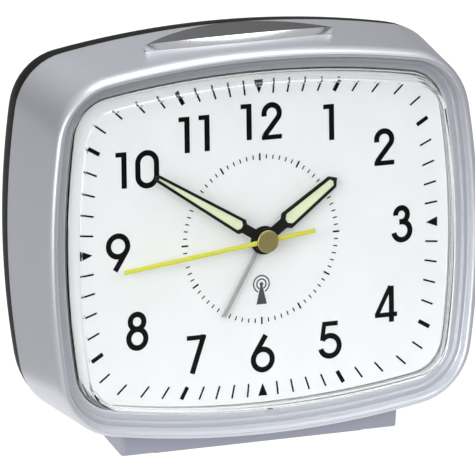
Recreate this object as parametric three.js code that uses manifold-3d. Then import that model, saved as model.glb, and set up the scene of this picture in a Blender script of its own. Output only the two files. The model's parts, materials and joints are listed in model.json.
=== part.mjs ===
// A free-standing radio-controlled alarm clock with hands, in millimetres, +Z up.
// The face looks along -Y and leans back. The origin is under the middle of the clock, where it stands.
import * as THREE from 'three';
import { mergeVertices } from 'three/addons/utils/BufferGeometryUtils.js';
import Module from 'manifold-3d';

const wasm = await Module();
wasm.setup();

// Stance
const LEAN_DEG = 9.5;
const CASE_TO_GROUND = 3.114;
const CLEARANCE = 0.3;

// Case outline: four shallow arcs joined by corner arcs
const TOP_ARC_RADIUS = 234;
const SIDE_ARC_RADIUS = 180;
const BEZEL_HALF_WIDTH = 53.8;
const BEZEL_HALF_HEIGHT = 44.3;
const BEZEL_CORNER_RADIUS = 15.5;
const SEAM_CORNER_RADIUS = 14.2;
const SEAM_SPREAD_X = 1.7;
const SEAM_SPREAD_Y = 0.5;
const CASE_WALL = 2;

// Depths behind the dial's front, along the level axis of the case
const ROLL_START = -1.4;
const ROLL_CREST = -4.6;
const SEAM_DEPTH = 16.2;
const REAR_DEPTH = 18.4;

// How far the rear cover draws in from the seam to its back wall
const REAR_DRAW_IN = 11.2;

// Bezel, as distances in from its outer edge
const ROLL_WIDTH = 2.1;
const FIRST_STEP_WIDTH = 1.4;
const SECOND_STEP_WIDTH = 1.6;
const STEP_DROP = 1.1;
const GROOVE_DROP = 0.3;
const FUNNEL_WIDTH = 0.5;
const FUNNEL_DROP = 0.35;

// Lens and dial
const LENS_WALL = 1;
const LENS_FRONT = 5.4;
const LENS_BEVEL = 1.7;
const LENS_BEVEL_DROP = 4.3;
const DIAL_THICKNESS = 0.9;
const DIAL_MARGIN = 0.7;
const DIAL_FRAME_THICKNESS = 1.6;

// Hands
const HOUR_HAND_LENGTH = 22.4;
const HOUR_HAND_HALF_WIDTH = 2.1;
const HOUR_HAND_TIP_HALF_WIDTH = 1.5;
const HOUR_HAND_NECK = 6;
const HOUR_HAND_NECK_HALF_WIDTH = 1.3;
const MINUTE_HAND_LENGTH = 32;
const MINUTE_HAND_HALF_WIDTH = 1.75;
const MINUTE_HAND_TIP_HALF_WIDTH = 0.65;
const MINUTE_HAND_NECK = 6.2;
const MINUTE_HAND_NECK_HALF_WIDTH = 1.15;
const HAND_FRAME = 0.62;
const SECOND_HAND_LENGTH = 35.6;
const SECOND_HAND_TAIL = 12.2;
const SECOND_HAND_WIDTH = 0.8;
const ALARM_HAND_LENGTH = 19.6;
const ALARM_HAND_WIDTH = 1;
const HAND_THICKNESS = 0.4;
const LUME_GAP = 0.1;
const ALARM_HAND_HEIGHT = 0.9;
const HOUR_HAND_HEIGHT = 1.65;
const MINUTE_HAND_HEIGHT = 2.4;
const SECOND_HAND_HEIGHT = 3.1;
const HUB_RADIUS = 2.7;
const CAP_RADIUS = 2.6;
const CAP_THICKNESS = 0.65;
const HOUR_HAND_ANGLE = 55.2;
const MINUTE_HAND_ANGLE = 302.2;
const SECOND_HAND_ANGLE = 263.5;
const ALARM_HAND_ANGLE = 210.5;

// Hand shafts: outer radius of each, one inside the next
const SECOND_ARBOR_RADIUS = 0.45;
const MINUTE_TUBE_RADIUS = 1.1;
const HOUR_TUBE_RADIUS = 1.75;
const ALARM_TUBE_RADIUS = 2.4;
const TUBE_PLAY = 0.15;

// Movement: plates and the levels of its wheels
const PLATE_THICKNESS = 1.4;
const GEAR_WIDTH = 1.1;
const LEVEL_PITCH = 1.45;
const MIDDLE_PLATE_THICKNESS = 1;
const MOVEMENT_BOTTOM = -22;
const MOVEMENT_TOP = 21.5;
const MOVEMENT_WALL = 1.2;
const PIVOT_RADIUS = 0.5;
const PIVOT_DEPTH = 0.7;
const PILLAR_RADIUS = 1.6;
const MOTOR_ROOM = 1.3;
const LUG_REACH = 5;
const LUG_LEVEL = 10;
const LUG_HALF_HEIGHT = 3;
const LUG_THICKNESS = 1.5;

// Wheels: teeth and module of each meshing pair
const TRAIN_MODULE = 0.4;
const TRAIN_PINION_TEETH = 6;
const TRAIN_CENTRE_TEETH = 36;
const TRAIN_THIRD_TEETH = 30;
const CANNON_MODULE = 0.75;
const CANNON_TEETH = 8;
const MOTION_WHEEL_TEETH = 24;
const HOUR_MODULE = 0.6;
const MOTION_PINION_TEETH = 8;
const HOUR_WHEEL_TEETH = 32;
const ALARM_MODULE = 0.625;
const ALARM_WHEEL_TEETH = 32;
const SETTING_PINION_TEETH = 16;
const MOTION_ANGLE = -30;
const SETTING_ANGLE = 150;
const MINUTE_TRAIN_ANGLE = 60;
const SECOND_TRAIN_ANGLE = -100;

// Step motors
const MAGNET_RADIUS = 1.7;
const MAGNET_LENGTH = 2;
const STATOR_THICKNESS = 0.8;
const STATOR_LEG = 0.9;
const STATOR_HALF_HEIGHT = 3.2;
const COIL_RADIUS = 1.75;
const COIL_LENGTH = 9;
const COIL_OFFSET = 9;

// Battery bay in the rear cover
const CELL_RADIUS = 7.1;
const CELL_LENGTH = 49;
const CELL_NUB_RADIUS = 2.6;
const CELL_NUB_LENGTH = 1.2;
const CELL_LEVEL = -17;
const BAY_HALF_WIDTH = 27.5;
const BAY_HALF_HEIGHT = 7.8;
const BAY_DEPTH = 17.2;
const BAY_WALL = 1;
const CONTACT_THICKNESS = 0.3;
const CONTACT_SPRING_TURNS = 3;
const CONTACT_WIRE = 0.3;
const DOOR_OVERLAP = 1.6;
const DOOR_THICKNESS = 1.3;

// Controls on the rear
const KNOB_RADIUS = 5.5;
const KNOB_HEIGHT = 4;
const KNOB_RIBS = 16;
const SETTING_SHAFT_RADIUS = 1.4;
const BUTTON_RADIUS = 2.4;
const BUTTON_FLANGE_RADIUS = 3.4;
const BUTTON_PROUD = 1.2;
const BUTTON_TRAVEL = 0.8;
const BUTTON_PITCH = 9;
const BUTTON_FIRST_X = 6;
const BUTTON_LEVEL = 14;
const SLIDER_LEVEL = 1;
const SLIDER_HALF_WIDTH = 2;
const SLIDER_HALF_HEIGHT = 1.6;
const SLIDER_TRAVEL = 4;
const CONTROL_BOARD_GAP = 3.2;
const CONTROL_BOARD_HALF_WIDTH = 14;
const CONTROL_BOARD_LOWER_MARGIN = 4;
const CONTROL_BOARD_UPPER_MARGIN = 5;
const CONTROL_BOARD_THICKNESS = 1;
const CONTROL_POST_MARGIN = 2;
const CONTROL_POST_RADIUS = 1.6;
const SOUND_SLOTS = 5;
const SOUND_SLOT_PITCH = 2.6;
const SOUND_SLOT_WIDTH = 1.2;
const SOUND_SLOT_LENGTH = 12;
const SOUNDER_X = -27;
const SOUNDER_LEVEL = 22;
const SOUNDER_RADIUS = 9;
const SOUNDER_THICKNESS = 3;

// Snooze and light bar on the top, in the level axes of the case
const BAR_CENTRE_X = -1.8;
const BAR_HALF_LENGTH = 23.2;
const BAR_FRONT = 10.5;
const BAR_TIP = 13.3;
const BAR_BACK = 19.9;
const BAR_TOP = 45.4;
const BAR_SLOPE_WIDTH = 0.8;
const BAR_SLOPE_DROP = 1.6;
const BAR_DEPTH = 6.5;
const BAR_GAP = 0.35;
const BAR_TRAVEL = 1.2;
const BAR_FLANGE = 1.1;
const BAR_STEM_RADIUS = 1.5;
const BAR_SEAT = 0.05;
const BAR_SPRING_X = 14;
const BAR_SPRING_RADIUS = 1.7;
const BAR_SPRING_WIRE = 0.25;
const BAR_SPRING_TURNS = 4;
const SHELF_TOP = 35.5;
const SHELF_THICKNESS = 1.5;
const SHELF_FRONT = 7.5;
const LAMP_LEVEL = 35.5;
const LAMP_RADIUS = 1.5;
const LAMP_LENGTH = 3;

// Circuit board and aerial
const BOARD_BOTTOM = 22;
const BOARD_TOP = 32.5;
const BOARD_FRONT = -6.4;
const BOARD_THICKNESS = 1.2;
const BOARD_TONGUE_HALF_WIDTH = 5;
const BOARD_TONGUE_TOP = 36.5;
const BOARD_PLAY = 0.05;
const BOARD_POST_RADIUS = 2.4;
const SWITCH_HALF_WIDTH = 3;
const SWITCH_HEIGHT = 4;
const SWITCH_DEPTH = 5;
const CHIP_X = 9;
const CHIP_SIZE = 3.6;
const CHIP_HEIGHT = 1;
const CRYSTAL_RADIUS = 1.5;
const CRYSTAL_LENGTH = 7;
const CRYSTAL_MARGIN = 3.5;
const CRYSTAL_GAP = 1.5;
const AERIAL_RADIUS = 3.4;
const AERIAL_MARGIN = 2;
const AERIAL_WINDING_START = 8;
const AERIAL_WINDING_LENGTH = 18;
const AERIAL_WINDING_THICKNESS = 0.8;

// Foot
const FOOT_HALF_LENGTH = 34.6;
const FOOT_FRONT = -6.5;
const FOOT_LENGTH = 32;
const FOOT_TAPER_DEG = 5.5;
const FOOT_RISE = 9;
const FOOT_CORNER = 1.2;
const PAD_WIDTH = 5;
const PAD_HALF_LENGTH = 26;
const PAD_THICKNESS = 1.1;
const PAD_PROUD = 0.4;
const PAD_MARGIN = 1;
const FOOT_SCREW_X = 20;
const FOOT_SCREW_Y = 4.5;
const FOOT_SCREW_LENGTH = 4.4;

// Screws and their bosses
const CASE_SCREW_SIDE_MARGIN = 17;
const CASE_SCREW_TOP_MARGIN = 15.8;
const CASE_SCREW_BOTTOM_MARGIN = 24.8;
const SCREW_SHANK_RADIUS = 1.3;
const SCREW_HEAD_RADIUS = 2.6;
const SCREW_HEAD_HEIGHT = 1.6;
const SCREW_LENGTH = 9;
const SMALL_SHANK_RADIUS = 0.8;
const SMALL_HEAD_RADIUS = 1.7;
const SMALL_HEAD_HEIGHT = 1.1;
const HEAD_SEAT = 0.05;
const POST_RADIUS = 3.2;
const BOSS_RADIUS = 4.2;
const BOSS_DEPTH = 4.5;
const BOSS_FLOOR = 1.4;

const lean = THREE.MathUtils.degToRad(LEAN_DEG);
const seamHalfWidth = BEZEL_HALF_WIDTH + SEAM_SPREAD_X;
const seamHalfHeight = BEZEL_HALF_HEIGHT + SEAM_SPREAD_Y;
const dialHeight = seamHalfHeight * Math.cos(lean) + CASE_TO_GROUND;
const faceMatrix = new THREE.Matrix4().makeRotationX(Math.PI / 2 - lean);
const levelMatrix = faceMatrix.clone().invert();

// The dial's own axes are x to the right, y up the dial and z out of it.
// These two give the height out of the dial, and up it, of a plane at a level depth in the case.
const out = (depth) => -depth * Math.cos(lean);
const rise = (depth) => depth * Math.sin(lean);

// Turns a solid from the level axes of the case (x right, y back, z up) to the dial's axes, or the other way
const toDial = (geometry) => geometry.applyMatrix4(levelMatrix);
const toLevel = (geometry) => geometry.applyMatrix4(faceMatrix);

function polar(radius, degrees) {
  const angle = THREE.MathUtils.degToRad(degrees);
  return new THREE.Vector2(radius * Math.cos(angle), radius * Math.sin(angle));
}

// Joining and cutting

function solid(geometry) {
  const bare = geometry.clone();
  bare.deleteAttribute('normal');
  bare.deleteAttribute('uv');
  const merged = mergeVertices(bare, 1e-4);
  const vertProperties = new Float32Array(merged.attributes.position.array);
  const triVerts = new Uint32Array(merged.index.array);
  return new wasm.Manifold(new wasm.Mesh({ numProp: 3, vertProperties, triVerts }));
}

function geometryOf(body) {
  const mesh = body.getMesh();
  const geometry = new THREE.BufferGeometry();
  geometry.setAttribute('position', new THREE.BufferAttribute(mesh.vertProperties, 3));
  geometry.setIndex(new THREE.BufferAttribute(mesh.triVerts, 1));
  geometry.computeVertexNormals();
  return geometry;
}

function join(...geometries) {
  return geometryOf(geometries.map(solid).reduce((whole, piece) => whole.add(piece)));
}

function cut(geometry, ...cutters) {
  return geometryOf(cutters.map(solid).reduce((whole, cutter) => whole.subtract(cutter), solid(geometry)));
}

// Outlines in the plane

function arcPoints(centre, radius, start, end, steps) {
  return Array.from({ length: steps }, (_, i) => {
    const angle = start + ((end - start) * i) / steps;
    return new THREE.Vector2(centre.x + radius * Math.cos(angle), centre.y + radius * Math.sin(angle));
  });
}

// The rounded outline of the case: side arc, corner arc and top arc, each tangent to the next, mirrored
function caseOutline(halfWidth, halfHeight, cornerRadius) {
  const top = new THREE.Vector2(0, halfHeight - TOP_ARC_RADIUS);
  const side = new THREE.Vector2(halfWidth - SIDE_ARC_RADIUS, 0);
  const topReach = TOP_ARC_RADIUS - cornerRadius;
  const sideReach = SIDE_ARC_RADIUS - cornerRadius;
  const span = top.clone().sub(side);
  const apart = span.length();
  const along = (sideReach ** 2 - topReach ** 2 + apart ** 2) / (2 * apart);
  const across = Math.sqrt(sideReach ** 2 - along ** 2);
  span.normalize();
  const corner = side.clone().addScaledVector(span, along);
  corner.addScaledVector(new THREE.Vector2(-span.y, span.x), across);
  const cornerStart = Math.atan2(corner.y, corner.x - side.x);
  const cornerEnd = Math.atan2(corner.y - top.y, corner.x);
  const quarter = [
    ...arcPoints(side, SIDE_ARC_RADIUS, 0, cornerStart, 2),
    ...arcPoints(corner, cornerRadius, cornerStart, cornerEnd, 5),
    ...arcPoints(top, TOP_ARC_RADIUS, cornerEnd, Math.PI / 2, 3),
  ];
  const left = quarter.slice(1).reverse().map((p) => new THREE.Vector2(-p.x, p.y));
  const upper = [...quarter, new THREE.Vector2(0, halfHeight), ...left];
  const lower = upper.map((p) => new THREE.Vector2(-p.x, -p.y));
  return [...upper, ...lower];
}

function rectangle(x0, y0, x1, y1) {
  const corners = [[x0, y0], [x1, y0], [x1, y1], [x0, y1]];
  return new THREE.Shape(corners.map(([x, y]) => new THREE.Vector2(x, y)));
}

const rectangleHole = (x0, y0, x1, y1) => new THREE.Path(rectangle(x0, y0, x1, y1).getPoints());
const circleHole = (radius, x = 0, y = 0) => new THREE.Path().absarc(x, y, radius, 0, Math.PI * 2, true);

function withHoles(shape, ...holes) {
  shape.holes.push(...holes);
  return shape;
}

// A spur gear with a tooth, or a gap, towards an angle in degrees
function gearShape(teeth, module, towards, gapThere = false) {
  const pitchRadius = (teeth * module) / 2;
  const root = pitchRadius - 1.2 * module;
  const tip = pitchRadius + 0.8 * module;
  const step = (2 * Math.PI) / teeth;
  const start = THREE.MathUtils.degToRad(towards) + (gapThere ? step / 2 : 0);
  const corners = [[-0.5, root], [-0.05, tip], [0.05, tip]];
  const points = [];
  for (let i = 0; i < teeth; i += 1) {
    for (const [share, radius] of corners) {
      const angle = start + (i + share) * step;
      points.push(new THREE.Vector2(radius * Math.cos(angle), radius * Math.sin(angle)));
    }
  }
  return new THREE.Shape(points);
}

const gearDistance = (first, second, module) => ((first + second) * module) / 2;

// Simple solids

function slab(shape, low, high, segments = 8) {
  const settings = { depth: high - low, bevelEnabled: false, curveSegments: segments };
  return new THREE.ExtrudeGeometry(shape, settings).translate(0, 0, low);
}

function rod(radius, low, high, x = 0, y = 0, sides = 12) {
  const geometry = new THREE.CylinderGeometry(radius, radius, high - low, sides);
  return geometry.rotateX(Math.PI / 2).translate(x, y, (low + high) / 2);
}

function crossRod(radius, low, high, y, z, sides = 16) {
  const geometry = new THREE.CylinderGeometry(radius, radius, high - low, sides);
  return geometry.rotateZ(Math.PI / 2).translate((low + high) / 2, y, z);
}

function block(x0, y0, z0, x1, y1, z1) {
  const geometry = new THREE.BoxGeometry(x1 - x0, y1 - y0, z1 - z0);
  return geometry.translate((x0 + x1) / 2, (y0 + y1) / 2, (z0 + z1) / 2);
}

class Helix extends THREE.Curve {
  constructor(radius, length, turns) {
    super();
    this.radius = radius;
    this.length = length;
    this.turns = turns;
  }

  getPoint(share, target = new THREE.Vector3()) {
    const angle = 2 * Math.PI * this.turns * share;
    return target.set(this.radius * Math.cos(angle), this.radius * Math.sin(angle), this.length * share);
  }
}

function coilSpring(radius, length, turns, wire) {
  const section = new THREE.Shape().absarc(0, 0, wire, 0, Math.PI * 2, false);
  const extrudePath = new Helix(radius - wire, length - 2 * wire, turns);
  const settings = { steps: turns * 7, extrudePath, bevelEnabled: false, curveSegments: 2.5 };
  return new THREE.ExtrudeGeometry(section, settings).translate(0, 0, wire);
}

// A skin through rings of points: a ring-shaped wall that closes on itself, or a body capped at both ends
function skin(rings, capped) {
  const count = rings[0].length;
  const positions = rings.flat().flatMap((p) => [p.x, p.y, p.z]);
  const index = [];
  const spans = capped ? rings.length - 1 : rings.length;
  for (let i = 0; i < spans; i += 1) {
    const here = i * count;
    const next = ((i + 1) % rings.length) * count;
    for (let j = 0; j < count; j += 1) {
      const k = (j + 1) % count;
      index.push(here + j, here + k, next + k, here + j, next + k, next + j);
    }
  }
  if (capped) {
    const last = (rings.length - 1) * count;
    for (let j = 1; j < count - 1; j += 1) {
      index.push(0, j + 1, j);
      index.push(last, last + j, last + j + 1);
    }
  }
  const geometry = new THREE.BufferGeometry();
  geometry.setAttribute('position', new THREE.Float32BufferAttribute(positions, 3));
  geometry.setIndex(index);
  geometry.computeVertexNormals();
  return geometry;
}

// A ring round the case, in the dial's axes, at a depth along the case's level axis
function caseRing(depth, halfWidth, halfHeight, cornerRadius) {
  const outline = caseOutline(halfWidth, halfHeight, cornerRadius);
  return outline.map((p) => new THREE.Vector3(p.x, p.y + rise(depth), out(depth)));
}

function bezelRing(depth, inset) {
  return caseRing(depth, BEZEL_HALF_WIDTH - inset, BEZEL_HALF_HEIGHT - inset, BEZEL_CORNER_RADIUS - inset);
}

function seamRing(depth, inset) {
  return caseRing(depth, seamHalfWidth - inset, seamHalfHeight - inset, SEAM_CORNER_RADIUS - inset / 3);
}

// Finishes

function finish(color, roughness, metalness = 0) {
  return new THREE.MeshStandardMaterial({ color, roughness, metalness });
}

const silver = () => finish(0xb4b8bf, 0.35, 0.55);
const lilacSilver = () => finish(0xa3a2b8, 0.4, 0.45);
const blackPlastic = () => finish(0x1c1c1a, 0.55);
const dialWhite = () => finish(0xe9ebee, 0.6);
const movementPlastic = () => finish(0xd8d4c6, 0.5);
const gearPlastic = () => finish(0xf0efe8, 0.45);
const handBlack = () => finish(0x0c0c0c, 0.5);
const lume = () => finish(0xdde6bd, 0.7);
const brass = () => finish(0xa89a55, 0.35, 0.9);
const steel = () => finish(0x9a9ca0, 0.35, 0.9);
const copper = () => finish(0x9a4a22, 0.45, 0.6);
const ferrite = () => finish(0x2b2a2c, 0.8);
const boardGreen = () => finish(0x2f5b35, 0.6);
const rubber = () => finish(0x2a2a2c, 0.9);
const secondYellow = () => finish(0xd3dc3c, 0.5);

function clearPlastic() {
  const material = finish(0xeaf2ee, 0.05);
  material.transparent = true;
  material.opacity = 0.25;
  return material;
}

const clock = new THREE.Group();
const dialGroup = new THREE.Group();
dialGroup.rotation.x = Math.PI / 2 - lean;
clock.add(dialGroup);

function addLevel(name, geometry, material) {
  const mesh = new THREE.Mesh(geometry, material);
  mesh.name = name;
  clock.add(mesh);
  return mesh;
}

function addToDial(name, geometry, material, spot = new THREE.Vector2()) {
  const mesh = new THREE.Mesh(geometry, material);
  mesh.name = name;
  mesh.position.set(spot.x, spot.y, 0);
  dialGroup.add(mesh);
  return mesh;
}

// Front case: side wall, rolled bezel, two steps, a groove and the funnel down to the lens

const secondStep = ROLL_WIDTH + FIRST_STEP_WIDTH;
const groove = secondStep + SECOND_STEP_WIDTH;
const funnel = groove + FUNNEL_WIDTH;
const firstStepDepth = ROLL_CREST + 2 * STEP_DROP;
const secondStepDepth = firstStepDepth + STEP_DROP;
const grooveDepth = secondStepDepth + GROOVE_DROP;
const funnelDepth = grooveDepth + FUNNEL_DROP;

// The roll goes from the side wall over its crest and a little way down again
function rollRings(grow) {
  const steps = 5;
  const end = THREE.MathUtils.degToRad(125);
  return Array.from({ length: steps + 1 }, (_, i) => {
    const angle = (end * i) / steps;
    const inset = (ROLL_WIDTH * (1 - Math.cos(angle))) / (1 - Math.cos(end));
    return bezelRing(ROLL_START + (ROLL_CREST - ROLL_START) * Math.sin(angle), inset - grow);
  });
}

function frontCaseWall() {
  return skin([
    seamRing(SEAM_DEPTH, CLEARANCE),
    seamRing(SEAM_DEPTH - CLEARANCE, 0),
    ...rollRings(0),
    bezelRing(firstStepDepth, ROLL_WIDTH + 0.1),
    bezelRing(firstStepDepth, secondStep),
    bezelRing(secondStepDepth, secondStep + 0.1),
    bezelRing(secondStepDepth, groove),
    bezelRing(grooveDepth, groove + 0.1),
    bezelRing(grooveDepth, groove + 0.35),
    bezelRing(funnelDepth, funnel),
    bezelRing(-CLEARANCE, funnel),
    bezelRing(-CLEARANCE, CASE_WALL),
    seamRing(SEAM_DEPTH, CASE_WALL),
  ], false);
}

// One long side of the bar: an arc from tip to tip that passes a given level in the middle
function barSide(level, grow, steps) {
  const half = BAR_HALF_LENGTH + grow * 1.5;
  const bulge = Math.abs(level - BAR_TIP) + grow;
  const radius = (half ** 2 + bulge ** 2) / (2 * bulge);
  const sweep = Math.asin(half / radius);
  const towards = Math.sign(level - BAR_TIP);
  const centre = new THREE.Vector2(BAR_CENTRE_X, BAR_TIP + towards * (bulge - radius));
  const start = (towards * Math.PI) / 2 - sweep;
  return arcPoints(centre, radius, start, start + 2 * sweep, steps);
}

// The bar's outline seen from above: two arcs that meet in points
const barOutline = (grow) => [...barSide(BAR_BACK, grow, 10), ...barSide(BAR_FRONT, grow, 10)];
const barShape = (grow) => new THREE.Shape(barOutline(grow));

// The bar's top is arched like the top of the case
const crown = (x) => BAR_TOP - x ** 2 / (2 * TOP_ARC_RADIUS);

const barUnder = BAR_TOP - BAR_DEPTH;
const barMiddle = (BAR_FRONT + BAR_BACK) / 2;
const footBase = PAD_PROUD - dialHeight;
const footScrewHole = (side, radius, low, high) => rod(radius, low, high, side * FOOT_SCREW_X, FOOT_SCREW_Y);
const sides = [-1, 1];

function frontCase() {
  const opening = slab(barShape(BAR_GAP), barUnder, BAR_TOP + 1);
  const holes = sides.map((side) =>
    footScrewHole(side, SCREW_SHANK_RADIUS + 0.1, -dialHeight, -dialHeight / 2));
  return cut(frontCaseWall(), ...[opening, ...holes].map(toDial));
}

addToDial('front_case', frontCase(), silver());

// Lens: a tray that stands on the edge of the dial and passes through the bezel

const lensInset = funnel + 0.15;

function lensRing(height, inset) {
  return bezelRing(-height / Math.cos(lean), lensInset + inset);
}

function lensTray() {
  const shoulder = LENS_FRONT - LENS_BEVEL_DROP;
  const outer = skin([
    lensRing(CLEARANCE, 0),
    lensRing(shoulder, 0),
    lensRing(shoulder + LENS_BEVEL_DROP * 0.7, LENS_BEVEL * 0.4),
    lensRing(LENS_FRONT, LENS_BEVEL),
  ], true);
  const inner = skin([
    lensRing(CLEARANCE - 1, LENS_WALL),
    lensRing(shoulder - LENS_WALL * 0.8, LENS_WALL),
    lensRing(LENS_FRONT - LENS_WALL, LENS_BEVEL + LENS_WALL * 0.6),
  ], true);
  return cut(outer, inner);
}

addToDial('lens', lensTray(), clearPlastic());

// Where the wheels stand
const trainCentre = gearDistance(TRAIN_PINION_TEETH, TRAIN_CENTRE_TEETH, TRAIN_MODULE);
const trainMotor = gearDistance(TRAIN_PINION_TEETH, TRAIN_THIRD_TEETH, TRAIN_MODULE);
const minuteThirdSpot = polar(trainCentre, MINUTE_TRAIN_ANGLE);
const minuteRotorSpot = polar(trainMotor, MINUTE_TRAIN_ANGLE).add(minuteThirdSpot);
const secondThirdSpot = polar(trainCentre, SECOND_TRAIN_ANGLE);
const secondRotorSpot = polar(trainMotor, SECOND_TRAIN_ANGLE).add(secondThirdSpot);
const motionSpot = polar(gearDistance(CANNON_TEETH, MOTION_WHEEL_TEETH, CANNON_MODULE), MOTION_ANGLE);
const settingSpot = polar(gearDistance(ALARM_WHEEL_TEETH, SETTING_PINION_TEETH, ALARM_MODULE), SETTING_ANGLE);

// The movement is as wide as the minute motor needs, and the circuit board reaches the ends of its lugs
const coilStart = COIL_OFFSET - COIL_LENGTH / 2 - CLEARANCE;
const coilEnd = COIL_OFFSET + COIL_LENGTH / 2 + CLEARANCE;
const movementHalfWidth = minuteRotorSpot.x + coilEnd + STATOR_LEG + MOTOR_ROOM + MOVEMENT_WALL;
const boardHalfWidth = movementHalfWidth + LUG_REACH;

// Dial and the frame behind it

const alarmBore = ALARM_TUBE_RADIUS + TUBE_PLAY;
const frameFront = -DIAL_THICKNESS - CLEARANCE;
const frameBack = frameFront - DIAL_FRAME_THICKNESS;
const dialEdge = () => new THREE.Shape(lensRing(0, -DIAL_MARGIN).map((p) => new THREE.Vector2(p.x, p.y)));

addToDial('dial', slab(withHoles(dialEdge(), circleHole(alarmBore)), -DIAL_THICKNESS, 0), dialWhite());

const rearPlane = SEAM_DEPTH + REAR_DEPTH;
const rearInside = out(rearPlane - CASE_WALL);
const rearOutside = out(rearPlane);
const postEnd = rearInside + BOSS_DEPTH - CASE_WALL + CLEARANCE;
const headSeat = postEnd - CLEARANCE - BOSS_FLOOR;
const screwX = seamHalfWidth - CASE_SCREW_SIDE_MARGIN;
const screwLevels = [seamHalfHeight - CASE_SCREW_TOP_MARGIN, CASE_SCREW_BOTTOM_MARGIN - seamHalfHeight];
const screwSpots = screwLevels.flatMap((level) => sides.map((side) => [side * screwX, level]));
const boardPostX = boardHalfWidth - BOARD_POST_RADIUS - 1;
const boardLevel = (BOARD_BOTTOM + BOARD_TOP) / 2;
const lugX = movementHalfWidth + LUG_REACH / 2;

function dialFrame() {
  const window = rectangleHole(
    -movementHalfWidth - CLEARANCE,
    MOVEMENT_BOTTOM - CLEARANCE,
    movementHalfWidth + CLEARANCE,
    MOVEMENT_TOP + CLEARANCE,
  );
  const screwHoles = sides.map((side) => circleHole(SMALL_SHANK_RADIUS + 0.1, side * lugX, LUG_LEVEL));
  const lampHole = circleHole(LAMP_RADIUS + CLEARANCE, 0, LAMP_LEVEL);
  const plate = slab(withHoles(dialEdge(), window, lampHole, ...screwHoles), frameBack, frameFront);
  const posts = screwSpots.map(([x, y]) => rod(POST_RADIUS, postEnd, frameFront - 0.4, x, y));
  const bores = screwSpots.map(([x, y]) =>
    rod(SCREW_SHANK_RADIUS + 0.1, postEnd - 1, postEnd + SCREW_LENGTH, x, y));
  const boardPosts = sides.map((side) =>
    rod(BOARD_POST_RADIUS, BOARD_FRONT + CLEARANCE, frameFront - 0.4, side * boardPostX, boardLevel));
  const shelves = sides.map((side) => {
    const x = side * BAR_SPRING_X;
    const reach = BAR_SPRING_RADIUS + 0.8;
    return toDial(block(
      x - reach, SHELF_FRONT, SHELF_TOP - SHELF_THICKNESS,
      x + reach, barMiddle + reach, SHELF_TOP,
    ));
  });
  return cut(join(plate, ...posts, ...boardPosts, ...shelves), ...bores);
}

addToDial('dial_frame', dialFrame(), movementPlastic());

// Levels of the movement, front to back

const levelTop = (level) => {
  const front = frameFront - PLATE_THICKNESS - CLEARANCE - level * LEVEL_PITCH;
  return level < 3 ? front : front - MIDDLE_PLATE_THICKNESS - CLEARANCE + LEVEL_PITCH - GEAR_WIDTH;
};
const levelBottom = (level) => levelTop(level) - GEAR_WIDTH;
const middlePlateTop = levelBottom(2) - CLEARANCE;
const middlePlateBottom = middlePlateTop - MIDDLE_PLATE_THICKNESS;
const backPlateTop = levelBottom(6) - CLEARANCE;
const backPlateBottom = backPlateTop - PLATE_THICKNESS;
const lugBottom = frameBack - CLEARANCE - LUG_THICKNESS;

const gearAt = (shape, level) => slab(shape, levelBottom(level), levelTop(level));

// Movement case, plates

const pivotHole = (spot) => circleHole(PIVOT_RADIUS + TUBE_PLAY, spot.x, spot.y);
const settingHole = () => circleHole(SETTING_SHAFT_RADIUS + TUBE_PLAY, settingSpot.x, settingSpot.y);
const movementShape = (inset) => rectangle(
  -movementHalfWidth + inset,
  MOVEMENT_BOTTOM + inset,
  movementHalfWidth - inset,
  MOVEMENT_TOP - inset,
);

addToDial('movement_front_plate', slab(
  withHoles(movementShape(0), circleHole(alarmBore), pivotHole(motionSpot)),
  frameFront - PLATE_THICKNESS,
  frameFront,
), movementPlastic());

addToDial('movement_middle_plate', slab(
  withHoles(
    movementShape(MOVEMENT_WALL + CLEARANCE),
    circleHole(MINUTE_TUBE_RADIUS + TUBE_PLAY),
    settingHole(),
    ...[motionSpot, minuteThirdSpot, minuteRotorSpot, secondThirdSpot, secondRotorSpot].map(pivotHole),
  ),
  middlePlateBottom,
  middlePlateTop,
), movementPlastic());

function movementCase() {
  const front = frameFront - PLATE_THICKNESS - CLEARANCE;
  const hollow = slab(movementShape(MOVEMENT_WALL), backPlateTop, front + 1);
  const tub = cut(slab(movementShape(0), backPlateBottom, front), hollow);
  const inset = MOVEMENT_WALL + PILLAR_RADIUS - 0.3;
  const pillarSpots = sides.flatMap((side) => [
    [side * (movementHalfWidth - inset), MOVEMENT_BOTTOM + inset],
    [side * (movementHalfWidth - inset), MOVEMENT_TOP - inset],
  ]);
  const pillars = pillarSpots.map(([x, y]) =>
    rod(PILLAR_RADIUS, backPlateTop - 0.5, middlePlateBottom - CLEARANCE, x, y, 8));
  const lugs = sides.map((side) => {
    const wall = side * (movementHalfWidth - MOVEMENT_WALL / 2);
    const end = side * (movementHalfWidth + LUG_REACH);
    return block(
      Math.min(wall, end), LUG_LEVEL - LUG_HALF_HEIGHT, lugBottom,
      Math.max(wall, end), LUG_LEVEL + LUG_HALF_HEIGHT, frameBack - CLEARANCE,
    );
  });
  const lugHoles = sides.map((side) =>
    rod(SMALL_SHANK_RADIUS + 0.1, lugBottom - 1, frameBack, side * lugX, LUG_LEVEL, 8));
  const pivots = [new THREE.Vector2(), minuteThirdSpot, minuteRotorSpot, secondThirdSpot, secondRotorSpot];
  const holes = pivots.map((spot) =>
    rod(PIVOT_RADIUS + TUBE_PLAY, backPlateTop - PIVOT_DEPTH - CLEARANCE, backPlateTop + 1, spot.x, spot.y, 8));
  const setting = rod(SETTING_SHAFT_RADIUS + TUBE_PLAY, backPlateBottom - 1, backPlateTop + 1,
    settingSpot.x, settingSpot.y);
  return cut(join(tub, ...pillars, ...lugs), ...holes, ...lugHoles, setting);
}

addToDial('movement_case', movementCase(), movementPlastic());

// Second train

const pivotEnd = backPlateTop - PIVOT_DEPTH;
const trainPivotTop = middlePlateTop - CLEARANCE;
const handTop = (height) => height + HAND_THICKNESS;

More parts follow.
